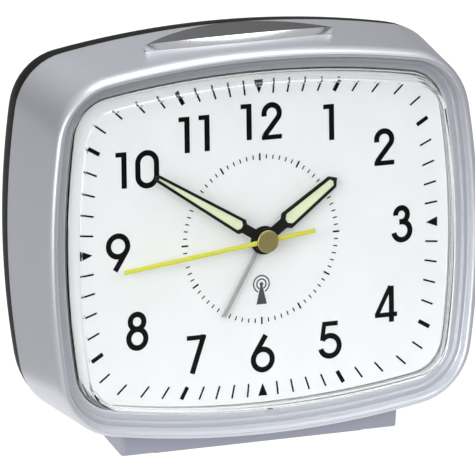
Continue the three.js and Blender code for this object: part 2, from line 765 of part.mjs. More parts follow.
addToDial('second_wheel', join(
  gearAt(gearShape(TRAIN_CENTRE_TEETH, TRAIN_MODULE, SECOND_TRAIN_ANGLE), 5),
  rod(SECOND_ARBOR_RADIUS, pivotEnd, handTop(SECOND_HAND_HEIGHT), 0, 0, 12),
), gearPlastic());

function thirdWheel(angle, pinionLevel, wheelLevel) {
  return join(
    gearAt(gearShape(TRAIN_PINION_TEETH, TRAIN_MODULE, angle + 180, true), pinionLevel),
    gearAt(gearShape(TRAIN_THIRD_TEETH, TRAIN_MODULE, angle), wheelLevel),
    rod(PIVOT_RADIUS, pivotEnd, trainPivotTop, 0, 0, 8),
  );
}

function rotor(angle, pinionLevel, magnetLow) {
  return join(
    gearAt(gearShape(TRAIN_PINION_TEETH, TRAIN_MODULE, angle + 180, true), pinionLevel),
    rod(MAGNET_RADIUS, magnetLow, magnetLow + MAGNET_LENGTH),
    rod(PIVOT_RADIUS, pivotEnd, trainPivotTop, 0, 0, 8),
  );
}

const secondMagnetLow = levelTop(6) + CLEARANCE;
const minuteMagnetLow = levelBottom(4) - CLEARANCE - MAGNET_LENGTH;

addToDial('second_intermediate_wheel', thirdWheel(SECOND_TRAIN_ANGLE, 5, 6), gearPlastic(), secondThirdSpot);
addToDial('second_motor_rotor', rotor(SECOND_TRAIN_ANGLE, 6, secondMagnetLow), steel(), secondRotorSpot);

// Minute train and motion work

addToDial('minute_wheel', cut(
  join(
    gearAt(gearShape(TRAIN_CENTRE_TEETH, TRAIN_MODULE, MINUTE_TRAIN_ANGLE), 3),
    gearAt(gearShape(CANNON_TEETH, CANNON_MODULE, MOTION_ANGLE), 2),
    rod(MINUTE_TUBE_RADIUS, levelBottom(3), handTop(MINUTE_HAND_HEIGHT)),
  ),
  rod(SECOND_ARBOR_RADIUS + TUBE_PLAY, levelBottom(3) - 1, handTop(MINUTE_HAND_HEIGHT) + 1),
), gearPlastic());
addToDial('minute_intermediate_wheel', thirdWheel(MINUTE_TRAIN_ANGLE, 3, 4), gearPlastic(), minuteThirdSpot);
addToDial('minute_motor_rotor', rotor(MINUTE_TRAIN_ANGLE, 4, minuteMagnetLow), steel(), minuteRotorSpot);

addToDial('motion_wheel', join(
  gearAt(gearShape(MOTION_WHEEL_TEETH, CANNON_MODULE, MOTION_ANGLE + 180, true), 2),
  gearAt(gearShape(MOTION_PINION_TEETH, HOUR_MODULE, MOTION_ANGLE + 180), 1),
  rod(PIVOT_RADIUS, middlePlateBottom + CLEARANCE, frameFront - CLEARANCE, 0, 0, 12),
), gearPlastic(), motionSpot);

function tubeWheel(shape, level, tubeRadius, innerRadius, top) {
  return cut(
    join(gearAt(shape, level), rod(tubeRadius, levelBottom(level), top)),
    rod(innerRadius + TUBE_PLAY, levelBottom(level) - 1, top + 1),
  );
}

addToDial('hour_wheel', tubeWheel(
  gearShape(HOUR_WHEEL_TEETH, HOUR_MODULE, MOTION_ANGLE, true),
  1, HOUR_TUBE_RADIUS, MINUTE_TUBE_RADIUS, handTop(HOUR_HAND_HEIGHT),
), gearPlastic());

// Alarm wheel, driven by the pinion on the setting shaft

addToDial('alarm_wheel', tubeWheel(
  gearShape(ALARM_WHEEL_TEETH, ALARM_MODULE, SETTING_ANGLE),
  0, ALARM_TUBE_RADIUS, HOUR_TUBE_RADIUS, handTop(ALARM_HAND_HEIGHT),
), gearPlastic());

addToDial('alarm_setting_shaft', join(
  gearAt(gearShape(SETTING_PINION_TEETH, ALARM_MODULE, SETTING_ANGLE + 180, true), 0),
  rod(SETTING_SHAFT_RADIUS, rearOutside - KNOB_HEIGHT / 2, levelTop(0)),
), gearPlastic(), settingSpot);

function knobShape() {
  const points = [];
  for (let i = 0; i < KNOB_RIBS * 2; i += 1) {
    const radius = i % 2 ? KNOB_RADIUS : KNOB_RADIUS - 0.4;
    const p = polar(radius, (i * 180) / KNOB_RIBS);
    points.push(p);
  }
  return new THREE.Shape(points);
}

addToDial('alarm_knob', cut(
  slab(knobShape(), rearOutside - CLEARANCE - KNOB_HEIGHT, rearOutside - CLEARANCE),
  rod(SETTING_SHAFT_RADIUS + 0.1, rearOutside - KNOB_HEIGHT / 2 - 0.2, rearOutside + 1),
), blackPlastic(), settingSpot);

// Step motors: each coil lies in the window of its stator

function stator(direction, middle) {
  const near = direction * -(MAGNET_RADIUS + CLEARANCE + STATOR_LEG);
  const far = direction * (coilEnd + STATOR_LEG);
  const plate = rectangle(Math.min(near, far), -STATOR_HALF_HEIGHT, Math.max(near, far), STATOR_HALF_HEIGHT);
  const window = rectangleHole(
    Math.min(direction * coilStart, direction * coilEnd), -COIL_RADIUS - CLEARANCE,
    Math.max(direction * coilStart, direction * coilEnd), COIL_RADIUS + CLEARANCE,
  );
  const half = STATOR_THICKNESS / 2;
  return slab(withHoles(plate, circleHole(MAGNET_RADIUS + CLEARANCE), window), middle - half, middle + half);
}

function motorCoil(direction, middle) {
  const low = Math.min(direction * (COIL_OFFSET - COIL_LENGTH / 2), direction * (COIL_OFFSET + COIL_LENGTH / 2));
  return crossRod(COIL_RADIUS, low, low + COIL_LENGTH, 0, middle, 16);
}

const minuteStatorMiddle = minuteMagnetLow + MAGNET_LENGTH / 2;
const secondStatorMiddle = secondMagnetLow + MAGNET_LENGTH / 2;
addToDial('minute_motor_stator', stator(1, minuteStatorMiddle), steel(), minuteRotorSpot);
addToDial('minute_motor_coil', motorCoil(1, minuteStatorMiddle), copper(), minuteRotorSpot);
addToDial('second_motor_stator', stator(-1, secondStatorMiddle), steel(), secondRotorSpot);
addToDial('second_motor_coil', motorCoil(-1, secondStatorMiddle), copper(), secondRotorSpot);

// Hands, each drawn pointing to twelve

function bladePoints(length, neck, neckHalf, half, tipHalf, inset) {
  const shoulder = neck + half - neckHalf;
  const slope = tipHalf * 0.9;
  return [
    [neckHalf - inset, neck + inset],
    [half - inset, shoulder + inset],
    [tipHalf - inset * 0.9, length - slope - inset * 0.3],
    [0, length - inset * 1.5],
    [inset * 0.9 - tipHalf, length - slope - inset * 0.3],
    [inset - half, shoulder + inset],
    [inset - neckHalf, neck + inset],
  ].map(([x, y]) => new THREE.Vector2(x, y));
}

function framedHand(blade, neckHalf, bore, height) {
  const outline = bladePoints(...blade, 0);
  const root = [new THREE.Vector2(-neckHalf, 0), new THREE.Vector2(neckHalf, 0)];
  const window = new THREE.Path(bladePoints(...blade, HAND_FRAME));
  const arm = slab(withHoles(new THREE.Shape([...root, ...outline]), window), height, handTop(height));
  const hub = rod(HUB_RADIUS, height, handTop(height), 0, 0, 20);
  return cut(join(arm, hub), rod(bore, height - 1, handTop(height) + 1));
}

const lumeInsert = (blade, height) =>
  slab(new THREE.Shape(bladePoints(...blade, HAND_FRAME + LUME_GAP)), height + 0.05, handTop(height) - 0.05);

const hourBlade = [
  HOUR_HAND_LENGTH, HOUR_HAND_NECK, HOUR_HAND_NECK_HALF_WIDTH, HOUR_HAND_HALF_WIDTH, HOUR_HAND_TIP_HALF_WIDTH,
];
const minuteBlade = [
  MINUTE_HAND_LENGTH, MINUTE_HAND_NECK, MINUTE_HAND_NECK_HALF_WIDTH, MINUTE_HAND_HALF_WIDTH,
  MINUTE_HAND_TIP_HALF_WIDTH,
];
const turned = (geometry, degrees) => geometry.rotateZ(-THREE.MathUtils.degToRad(degrees));
const pressGap = 0.06;

addToDial('alarm_hand', turned(cut(
  join(
    slab(rectangle(-ALARM_HAND_WIDTH / 2, 0, ALARM_HAND_WIDTH / 2, ALARM_HAND_LENGTH),
      ALARM_HAND_HEIGHT, handTop(ALARM_HAND_HEIGHT)),
    rod(HUB_RADIUS + 0.6, ALARM_HAND_HEIGHT, handTop(ALARM_HAND_HEIGHT), 0, 0, 20),
  ),
  rod(ALARM_TUBE_RADIUS + pressGap, ALARM_HAND_HEIGHT - 1, handTop(ALARM_HAND_HEIGHT) + 1),
), ALARM_HAND_ANGLE), steel());
addToDial('hour_hand', turned(
  framedHand(hourBlade, HOUR_HAND_NECK_HALF_WIDTH, HOUR_TUBE_RADIUS + pressGap, HOUR_HAND_HEIGHT),
  HOUR_HAND_ANGLE,
), handBlack());
addToDial('hour_hand_lume', turned(lumeInsert(hourBlade, HOUR_HAND_HEIGHT), HOUR_HAND_ANGLE), lume());
addToDial('minute_hand', turned(
  framedHand(minuteBlade, MINUTE_HAND_NECK_HALF_WIDTH, MINUTE_TUBE_RADIUS + pressGap, MINUTE_HAND_HEIGHT),
  MINUTE_HAND_ANGLE,
), handBlack());
addToDial('minute_hand_lume', turned(lumeInsert(minuteBlade, MINUTE_HAND_HEIGHT), MINUTE_HAND_ANGLE), lume());
addToDial('second_hand', turned(cut(
  join(
    slab(rectangle(-SECOND_HAND_WIDTH / 2, -SECOND_HAND_TAIL, SECOND_HAND_WIDTH / 2, SECOND_HAND_LENGTH),
      SECOND_HAND_HEIGHT, handTop(SECOND_HAND_HEIGHT)),
    rod(CAP_RADIUS - CLEARANCE, SECOND_HAND_HEIGHT, handTop(SECOND_HAND_HEIGHT), 0, 0, 20),
  ),
  rod(SECOND_ARBOR_RADIUS + pressGap, SECOND_HAND_HEIGHT - 1, handTop(SECOND_HAND_HEIGHT) + 1),
), SECOND_HAND_ANGLE), secondYellow());
const capLow = handTop(SECOND_HAND_HEIGHT) + pressGap;
addToDial('second_hand_cap', rod(CAP_RADIUS, capLow, capLow + CAP_THICKNESS, 0, 0, 32), brass());

// Rear cover: it draws in from the seam, ever faster, to a flat back with the battery bay

function rearRings(inset, start) {
  const steps = 6;
  const curve = Array.from({ length: steps }, (_, i) => {
    const depth = ((REAR_DEPTH - inset) * (i + 1)) / steps;
    return seamRing(SEAM_DEPTH + depth, inset + 0.15 + REAR_DRAW_IN * (depth / REAR_DEPTH) ** 2);
  });
  return [seamRing(start, inset + 0.15), ...curve].reverse();
}

const bayTop = rearOutside + BAY_DEPTH;
const bayRim = (grow, low, high) => block(
  -BAY_HALF_WIDTH - grow, CELL_LEVEL - BAY_HALF_HEIGHT - grow, low,
  BAY_HALF_WIDTH + grow, CELL_LEVEL + BAY_HALF_HEIGHT + grow, high,
);
const buttonSpots = [0, 1, 2].map((i) => [BUTTON_FIRST_X + i * BUTTON_PITCH, BUTTON_LEVEL]);
const sliderX = BUTTON_FIRST_X + BUTTON_PITCH;
const doorFloor = rearOutside + DOOR_THICKNESS + 0.1;
const controlTop = rearInside + CONTROL_BOARD_GAP;

function rearCover() {
  const seam = SEAM_DEPTH + CLEARANCE;
  const shell = cut(skin(rearRings(0, seam), true), skin(rearRings(CASE_WALL, seam - 1), true));
  const bosses = screwSpots.map(([x, y]) => rod(BOSS_RADIUS, rearInside - 0.5, postEnd - CLEARANCE, x, y));
  const sinks = screwSpots.flatMap(([x, y]) => [
    rod(SCREW_HEAD_RADIUS + CLEARANCE, rearOutside - 1, headSeat, x, y),
    rod(SCREW_SHANK_RADIUS + CLEARANCE, rearOutside - 1, postEnd + 1, x, y),
  ]);
  const buttons = buttonSpots.map(([x, y]) =>
    rod(BUTTON_RADIUS + CLEARANCE / 2, rearOutside - 1, rearInside + 1, x, y));
  const sliderReach = SLIDER_HALF_WIDTH + SLIDER_TRAVEL / 2 + CLEARANCE / 2;
  const slider = block(
    sliderX - sliderReach, SLIDER_LEVEL - SLIDER_HALF_HEIGHT - CLEARANCE / 2, rearOutside - 1,
    sliderX + sliderReach, SLIDER_LEVEL + SLIDER_HALF_HEIGHT + CLEARANCE / 2, rearInside + 1,
  );
  const knob = rod(SETTING_SHAFT_RADIUS + TUBE_PLAY, rearOutside - 1, rearInside + 1,
    settingSpot.x, settingSpot.y);
  const slots = Array.from({ length: SOUND_SLOTS }, (_, i) => {
    const level = SOUNDER_LEVEL + (i - (SOUND_SLOTS - 1) / 2) * SOUND_SLOT_PITCH;
    return block(
      SOUNDER_X - SOUND_SLOT_LENGTH / 2, level - SOUND_SLOT_WIDTH / 2, rearOutside - 1,
      SOUNDER_X + SOUND_SLOT_LENGTH / 2, level + SOUND_SLOT_WIDTH / 2, rearInside + 1,
    );
  });
  const controlPosts = sides.map((side) => rod(
    CONTROL_POST_RADIUS, rearInside - 0.5, controlTop - CLEARANCE,
    sliderX + side * (CONTROL_BOARD_HALF_WIDTH - CONTROL_POST_MARGIN), (SLIDER_LEVEL + BUTTON_LEVEL) / 2,
  ));
  return cut(
    join(shell, bayRim(BAY_WALL, rearInside - 0.5, bayTop + BAY_WALL), ...bosses, ...controlPosts),
    bayRim(0, rearOutside - 1, bayTop),
    bayRim(DOOR_OVERLAP, rearOutside - 1, doorFloor),
    ...sinks, ...buttons, slider, knob, ...slots,
  );
}

addToDial('rear_cover', rearCover(), blackPlastic());

addToDial('battery_door',
  bayRim(DOOR_OVERLAP - 0.2, rearOutside, rearOutside + DOOR_THICKNESS),
  blackPlastic());

// Cell and its contacts

const cellHeight = bayTop - CLEARANCE - CELL_RADIUS;
const cellEnd = BAY_HALF_WIDTH - CLEARANCE - CONTACT_THICKNESS - CLEARANCE - CELL_NUB_LENGTH;
const cellStart = cellEnd - CELL_LENGTH;
addToDial('battery_cell', join(
  crossRod(CELL_RADIUS, cellStart, cellEnd, CELL_LEVEL, cellHeight, 20),
  crossRod(CELL_NUB_RADIUS, cellEnd - 0.5, cellEnd + CELL_NUB_LENGTH, CELL_LEVEL, cellHeight, 12),
), steel());
const contactReach = CELL_RADIUS - 2;
addToDial('battery_plus_contact', block(
  BAY_HALF_WIDTH - CLEARANCE - CONTACT_THICKNESS, CELL_LEVEL - contactReach, cellHeight - contactReach,
  BAY_HALF_WIDTH - CLEARANCE, CELL_LEVEL + contactReach, cellHeight + contactReach,
), steel());
const contactSpringLength = BAY_HALF_WIDTH + cellStart - 2 * CLEARANCE;
addToDial('battery_minus_spring', coilSpring(
  CELL_RADIUS / 2, contactSpringLength, CONTACT_SPRING_TURNS, CONTACT_WIRE,
).rotateY(Math.PI / 2).translate(CLEARANCE - BAY_HALF_WIDTH, CELL_LEVEL, cellHeight), steel());

// Rear controls: a small board with three switches, three buttons and the alarm slider

addToDial('control_board', block(
  sliderX - CONTROL_BOARD_HALF_WIDTH, SLIDER_LEVEL - CONTROL_BOARD_LOWER_MARGIN, controlTop,
  sliderX + CONTROL_BOARD_HALF_WIDTH, BUTTON_LEVEL + CONTROL_BOARD_UPPER_MARGIN,
  controlTop + CONTROL_BOARD_THICKNESS,
), boardGreen());

const buttonFlangeTop = rearInside + CLEARANCE + 1;
function rearButton([x, y]) {
  return join(
    rod(BUTTON_RADIUS, rearOutside - BUTTON_PROUD, rearInside + CLEARANCE + 0.5, x, y, 16),
    rod(BUTTON_FLANGE_RADIUS, rearInside + CLEARANCE, buttonFlangeTop, x, y, 16),
    rod(BUTTON_RADIUS / 2, buttonFlangeTop - 0.5, controlTop - CLEARANCE - BUTTON_TRAVEL, x, y, 8),
  );
}
const buttonNames = ['time_set_button', 'reception_button', 'reset_button'];
buttonNames.forEach((name, i) => addToDial(name, rearButton(buttonSpots[i]), blackPlastic()));

const sliderStart = sliderX - SLIDER_TRAVEL / 2;
const sliderBlock = (grow, low, high) => block(
  sliderStart - SLIDER_HALF_WIDTH - grow, SLIDER_LEVEL - SLIDER_HALF_HEIGHT - grow, low,
  sliderStart + SLIDER_HALF_WIDTH + grow, SLIDER_LEVEL + SLIDER_HALF_HEIGHT + grow, high,
);
addToDial('alarm_slider', join(
  sliderBlock(0, rearOutside - 0.8, rearInside + CLEARANCE + 0.5),
  sliderBlock(1, rearInside + CLEARANCE, controlTop - CLEARANCE),
), steel());

addToDial('sounder', rod(SOUNDER_RADIUS, rearInside + CLEARANCE, rearInside + CLEARANCE + SOUNDER_THICKNESS,
  SOUNDER_X, SOUNDER_LEVEL, 20), brass());

// Circuit board with the snooze switch, receiver crystal and lamp, and the aerial behind it

const boardBack = BOARD_FRONT - BOARD_THICKNESS;
const boardOutline = [
  [-boardHalfWidth, BOARD_BOTTOM],
  [boardHalfWidth, BOARD_BOTTOM],
  [boardHalfWidth, BOARD_TOP],
  [BOARD_TONGUE_HALF_WIDTH, BOARD_TOP],
  [BOARD_TONGUE_HALF_WIDTH, BOARD_TONGUE_TOP],
  [-BOARD_TONGUE_HALF_WIDTH, BOARD_TONGUE_TOP],
  [-BOARD_TONGUE_HALF_WIDTH, BOARD_TOP],
  [-boardHalfWidth, BOARD_TOP],
];
addToDial('circuit_board', join(
  slab(new THREE.Shape(boardOutline.map(([x, y]) => new THREE.Vector2(x, y))), boardBack, BOARD_FRONT),
  block(
    CHIP_X, BOARD_TOP - CHIP_SIZE - 0.5, boardBack - CHIP_HEIGHT,
    CHIP_X + CHIP_SIZE * 2, BOARD_TOP - 0.5, boardBack + BOARD_THICKNESS / 2,
  ),
), boardGreen());
const switchFront = boardBack - BOARD_PLAY;
addToDial('snooze_switch', block(
  -SWITCH_HALF_WIDTH, BOARD_TONGUE_TOP - SWITCH_HEIGHT, switchFront - SWITCH_DEPTH,
  SWITCH_HALF_WIDTH, BOARD_TONGUE_TOP, switchFront,
), blackPlastic());
const crystalX = boardHalfWidth - CRYSTAL_MARGIN - CRYSTAL_LENGTH;
addToDial('clock_crystal', crossRod(
  CRYSTAL_RADIUS, crystalX, crystalX + CRYSTAL_LENGTH, boardLevel, boardBack - BOARD_PLAY - CRYSTAL_RADIUS, 16,
), steel());
addToDial('dial_lamp', rod(
  LAMP_RADIUS, frameBack - LAMP_LENGTH, frameBack + DIAL_FRAME_THICKNESS / 2, 0, LAMP_LEVEL, 16,
), clearPlastic());

const windingRadius = AERIAL_RADIUS + AERIAL_WINDING_THICKNESS;
const aerialHeight = boardBack - BOARD_PLAY - windingRadius;
const aerialLevel = BOARD_BOTTOM + windingRadius;
const aerialX = AERIAL_MARGIN - boardHalfWidth;
const aerialEnd = crystalX - CRYSTAL_GAP;
const windingX = aerialX + AERIAL_WINDING_START;
addToDial('aerial_rod', crossRod(
  AERIAL_RADIUS, aerialX, aerialEnd, aerialLevel, aerialHeight,
), ferrite());
addToDial('aerial_winding', cut(
  crossRod(windingRadius, windingX, windingX + AERIAL_WINDING_LENGTH, aerialLevel, aerialHeight, 16),
  crossRod(AERIAL_RADIUS + BOARD_PLAY, aerialX, aerialEnd, aerialLevel, aerialHeight, 16),
), copper());

// Snooze and light bar, with its two springs

// The bar between two heights above or below its crown, with the slope along its front drawn in by a width
function barRing(slopeWidth, height) {
  const back = barSide(BAR_BACK, 0, 10);
  const front = barSide(BAR_FRONT, 0, 10).map((p) => {
    const middle = 1 - ((p.x - BAR_CENTRE_X) / BAR_HALF_LENGTH) ** 2;
    return new THREE.Vector2(p.x, p.y + slopeWidth * Math.sqrt(Math.max(middle, 0)));
  });
  return [...back, ...front].map((p) => new THREE.Vector3(p.x, p.y, height(p.x)));
}

function snoozeBar() {
  const over = 0.2;
  const past = (BAR_SLOPE_WIDTH * (BAR_SLOPE_DROP + over)) / BAR_SLOPE_DROP;
  const body = skin([
    barRing(0, () => barUnder),
    barRing(0, (x) => crown(x) - BAR_SLOPE_DROP),
    barRing(past, (x) => crown(x) + over),
    barRing(past, () => BAR_TOP + 1),
  ], true);
  const length = 2 * BAR_HALF_LENGTH + 6;
  const arch = Array.from({ length: 13 }, (_, i) => {
    const x = (i / 12 - 0.5) * length;
    return new THREE.Vector2(x, crown(x));
  });
  const sky = slab(new THREE.Shape([...arch, new THREE.Vector2(length / 2, BAR_TOP + 2),
    new THREE.Vector2(-length / 2, BAR_TOP + 2)]), -BAR_BACK - 1, 1 - BAR_FRONT);
  const bar = cut(body, sky.rotateX(Math.PI / 2));
  const flange = slab(barShape(BAR_FLANGE), barUnder, barUnder + BAR_FLANGE);
  const switchLevel = BOARD_TONGUE_TOP * Math.cos(lean) + switchFront * Math.sin(lean);
  const switchY = BOARD_TONGUE_TOP * Math.sin(lean) - (switchFront - SWITCH_DEPTH / 2) * Math.cos(lean);
  const stem = rod(BAR_STEM_RADIUS, switchLevel + BAR_TRAVEL + CLEARANCE, barUnder + 0.5, 0, switchY);
  const dialTop = (BEZEL_HALF_HEIGHT - lensInset + DIAL_MARGIN) * Math.cos(lean);
  const frameY = dialTop * Math.tan(lean) - frameBack * Math.cos(lean);
  const notch = block(
    -length / 2, BAR_FRONT - 2 * BAR_FLANGE, barUnder - 1,
    length / 2, frameY + CLEARANCE, dialTop + BAR_TRAVEL + CLEARANCE,
  );
  return cut(join(bar, flange, stem), notch);
}

addLevel('snooze_bar', snoozeBar(), silver());
const springRoom = barUnder - SHELF_TOP - 2 * BAR_SEAT;
['snooze_spring_left', 'snooze_spring_right'].forEach((name, i) => addLevel(
  name,
  coilSpring(BAR_SPRING_RADIUS, springRoom, BAR_SPRING_TURNS, BAR_SPRING_WIRE)
    .translate(sides[i] * BAR_SPRING_X, barMiddle, SHELF_TOP + BAR_SEAT),
  steel(),
));

// Screws

function screwBody(shank, shankLength, head, headHeight) {
  return join(rod(shank, -0.2, shankLength, 0, 0, 8), rod(head, -headHeight, 0, 0, 0, 12));
}

screwSpots.forEach(([x, y], i) => addToDial(
  `case_screw_${i + 1}`,
  screwBody(SCREW_SHANK_RADIUS, SCREW_LENGTH, SCREW_HEAD_RADIUS, SCREW_HEAD_HEIGHT)
    .translate(x, y, headSeat - HEAD_SEAT),
  steel(),
));
['movement_screw_left', 'movement_screw_right'].forEach((name, i) => addToDial(
  name,
  screwBody(SMALL_SHANK_RADIUS, LUG_THICKNESS + DIAL_FRAME_THICKNESS, SMALL_HEAD_RADIUS, SMALL_HEAD_HEIGHT)
    .translate(sides[i] * lugX, LUG_LEVEL, lugBottom - HEAD_SEAT),
  steel(),
));

// Foot: a plinth whose top follows the case, held by two screws, standing on two rubber strips

const caseBody = () => skin([...rearRings(-CLEARANCE, SEAM_DEPTH), ...rollRings(CLEARANCE)], true);
const footRear = FOOT_FRONT + FOOT_LENGTH;
const footRearHalf = FOOT_HALF_LENGTH - FOOT_LENGTH * Math.tan(THREE.MathUtils.degToRad(FOOT_TAPER_DEG));
const padStarts = [FOOT_FRONT + PAD_MARGIN, footRear - PAD_MARGIN - PAD_WIDTH];
const footHeadSeat = footBase + SCREW_HEAD_HEIGHT + 0.2;

function footShape() {
  const shape = new THREE.Shape();
  shape.moveTo(FOOT_CORNER - FOOT_HALF_LENGTH, FOOT_FRONT);
  shape.lineTo(FOOT_HALF_LENGTH - FOOT_CORNER, FOOT_FRONT);
  shape.quadraticCurveTo(FOOT_HALF_LENGTH, FOOT_FRONT, FOOT_HALF_LENGTH, FOOT_FRONT + FOOT_CORNER);
  shape.lineTo(footRearHalf, footRear - FOOT_CORNER);
  shape.quadraticCurveTo(footRearHalf, footRear, footRearHalf - FOOT_CORNER, footRear);
  shape.lineTo(FOOT_CORNER - footRearHalf, footRear);
  shape.quadraticCurveTo(-footRearHalf, footRear, -footRearHalf, footRear - FOOT_CORNER);
  shape.lineTo(-FOOT_HALF_LENGTH, FOOT_FRONT + FOOT_CORNER);
  shape.quadraticCurveTo(-FOOT_HALF_LENGTH, FOOT_FRONT, FOOT_CORNER - FOOT_HALF_LENGTH, FOOT_FRONT);
  return shape;
}

function foot() {
  const plinth = slab(footShape(), footBase, footBase + FOOT_RISE, 4);
  const pockets = padStarts.map((y) => block(
    -PAD_HALF_LENGTH - HEAD_SEAT, y - HEAD_SEAT, footBase - 1,
    PAD_HALF_LENGTH + HEAD_SEAT, y + PAD_WIDTH + HEAD_SEAT, PAD_THICKNESS + HEAD_SEAT - dialHeight,
  ));
  const sinks = sides.flatMap((side) => [
    footScrewHole(side, SCREW_HEAD_RADIUS + CLEARANCE, footBase - 1, footHeadSeat),
    footScrewHole(side, SCREW_SHANK_RADIUS + 0.1, footBase - 1, footBase + FOOT_RISE),
  ]);
  return cut(plinth, toLevel(caseBody()), ...pockets, ...sinks);
}

addLevel('foot', foot(), lilacSilver());
['foot_screw_left', 'foot_screw_right'].forEach((name, i) => addLevel(
  name,
  screwBody(SCREW_SHANK_RADIUS, FOOT_SCREW_LENGTH, SCREW_HEAD_RADIUS, SCREW_HEAD_HEIGHT)
    .translate(sides[i] * FOOT_SCREW_X, FOOT_SCREW_Y, footHeadSeat - HEAD_SEAT),
  steel(),
));
['foot_pad_front', 'foot_pad_rear'].forEach((name, i) => addLevel(
  name,
  block(-PAD_HALF_LENGTH, padStarts[i], -dialHeight, PAD_HALF_LENGTH, padStarts[i] + PAD_WIDTH,
    PAD_THICKNESS - dialHeight),
  rubber(),
));

// The clock is centred over the origin and stands on it
const box = new THREE.Box3().setFromObject(clock, true);
clock.position.set(0, -(box.min.y + box.max.y) / 2, dialHeight);

const group = new THREE.Group();
group.add(clock);
export default group;
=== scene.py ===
"""Dresses a leaning radio-controlled alarm clock over its CAD frame.

Sizes are in millimetres in the dial's own axes, x to the right, y up the dial and z out of it, unless a name
or a docstring says otherwise. The dial's centre and its lean come from the frame.
"""

import json
import logging
import math
from collections.abc import Callable, Iterable, Sequence
from dataclasses import dataclass, field
from enum import Enum
from typing import Any

import bmesh
import bpy
from mathutils import Matrix, Vector


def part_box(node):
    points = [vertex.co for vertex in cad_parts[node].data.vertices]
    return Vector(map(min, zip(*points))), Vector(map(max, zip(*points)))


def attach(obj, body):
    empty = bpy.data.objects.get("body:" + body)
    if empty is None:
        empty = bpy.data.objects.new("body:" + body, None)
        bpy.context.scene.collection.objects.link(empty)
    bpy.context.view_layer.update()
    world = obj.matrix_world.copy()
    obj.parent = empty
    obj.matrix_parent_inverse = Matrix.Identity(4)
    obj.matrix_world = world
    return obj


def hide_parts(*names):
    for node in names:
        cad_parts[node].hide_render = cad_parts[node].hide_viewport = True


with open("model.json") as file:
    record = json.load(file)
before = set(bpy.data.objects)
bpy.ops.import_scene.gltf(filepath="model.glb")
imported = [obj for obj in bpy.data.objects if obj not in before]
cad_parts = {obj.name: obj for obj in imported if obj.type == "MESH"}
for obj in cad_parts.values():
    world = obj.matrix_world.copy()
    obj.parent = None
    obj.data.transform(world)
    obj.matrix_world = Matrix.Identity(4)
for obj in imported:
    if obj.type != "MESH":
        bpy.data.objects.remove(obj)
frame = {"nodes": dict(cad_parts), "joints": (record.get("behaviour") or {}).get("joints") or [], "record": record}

log = logging.getLogger("alarm_clock")

MM = 0.001
Point = tuple[float, float]
Spot = tuple[float, float, float]
Colour = tuple[float, float, float]
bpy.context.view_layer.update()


# Axes of the clock


@dataclass(frozen=True)
class ClockAxes:
    """The dial's axes in the frame: its centre, and how far the dial leans back."""

    centre: Vector
    lean: float

    @classmethod
    def from_frame(cls) -> "ClockAxes":
        """Reads the shaft of the minute hand from the frame.

        Returns:
            The axes whose origin is the dial's centre.
        """
        shaft = next(joint for joint in frame["joints"] if joint["name"] == "minute_spin")
        inward = Vector(shaft["axis"])
        return cls(Vector(shaft["pos_m"]), math.atan2(-inward.z, inward.y))

    def dial(self) -> Matrix:
        """Returns the matrix from the dial's axes in millimetres to the frame in metres."""
        turn = Matrix.Rotation(math.pi / 2 - self.lean, 4, "X")
        return Matrix.Translation(self.centre) @ turn @ Matrix.Scale(MM, 4)

    def level(self) -> Matrix:
        """Returns the matrix from level axes at the dial's centre, in millimetres, to the frame in metres."""
        return Matrix.Translation(self.centre) @ Matrix.Scale(MM, 4)

    def out(self, depth: float) -> float:
        """Returns how far out of the dial a plane lies at a depth along the level axis of the case."""
        return -depth * math.cos(self.lean)

    def rise(self, depth: float) -> float:
        """Returns how far up the dial the case has moved at a depth along its level axis."""
        return depth * math.sin(self.lean)


AXES = ClockAxes.from_frame()


def box_mm(node: str) -> tuple[Vector, Vector]:
    """Gives a CAD node's box in millimetres, in level axes at the dial's centre.

    Args:
        node: The name of the CAD node.

    Returns:
        The lowest and the highest corner.
    """
    low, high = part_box(node)
    return (low - AXES.centre) / MM, (high - AXES.centre) / MM


# Shader graphs


class Value:
    """A number on its way through a material's nodes. Arithmetic on it adds Math nodes."""

    def __init__(self, graph: "Graph", source: Any) -> None:
        """Wraps a socket or a plain number.

        Args:
            graph: The graph that the value belongs to.
            source: The node socket, or a float.
        """
        self.graph = graph
        self.source = source

    def _maths(self, operation: str, first: Any, second: Any = None) -> "Value":
        """Adds a Math node.

        Args:
            operation: The node's operation.
            first: Its first operand.
            second: Its second operand, if it takes one.

        Returns:
            The result.
        """
        operands = {0: first} if second is None else {0: first, 1: second}
        return self.graph.node("ShaderNodeMath", {"operation": operation}, operands)

    def __add__(self, other: Any) -> "Value":
        """Adds."""
        return self._maths("ADD", self, other)

    def __radd__(self, other: Any) -> "Value":
        """Adds from the right."""
        return self._maths("ADD", other, self)

    def __sub__(self, other: Any) -> "Value":
        """Subtracts."""
        return self._maths("SUBTRACT", self, other)

    def __rsub__(self, other: Any) -> "Value":
        """Subtracts from the right."""
        return self._maths("SUBTRACT", other, self)

    def __mul__(self, other: Any) -> "Value":
        """Multiplies."""
        return self._maths("MULTIPLY", self, other)

    def __rmul__(self, other: Any) -> "Value":
        """Multiplies from the right."""
        return self._maths("MULTIPLY", other, self)

    def above(self, level: float) -> "Value":
        """Returns 1 where the value is over a level and 0 elsewhere."""
        return self._maths("GREATER_THAN", self, level)

    def size(self) -> "Value":
        """Returns the value without its sign."""
        return self._maths("ABSOLUTE", self)

    def wave(self) -> "Value":
        """Returns the value's sine, moved to lie between 0 and 1."""
        return self._maths("SINE", self) * 0.5 + 0.5


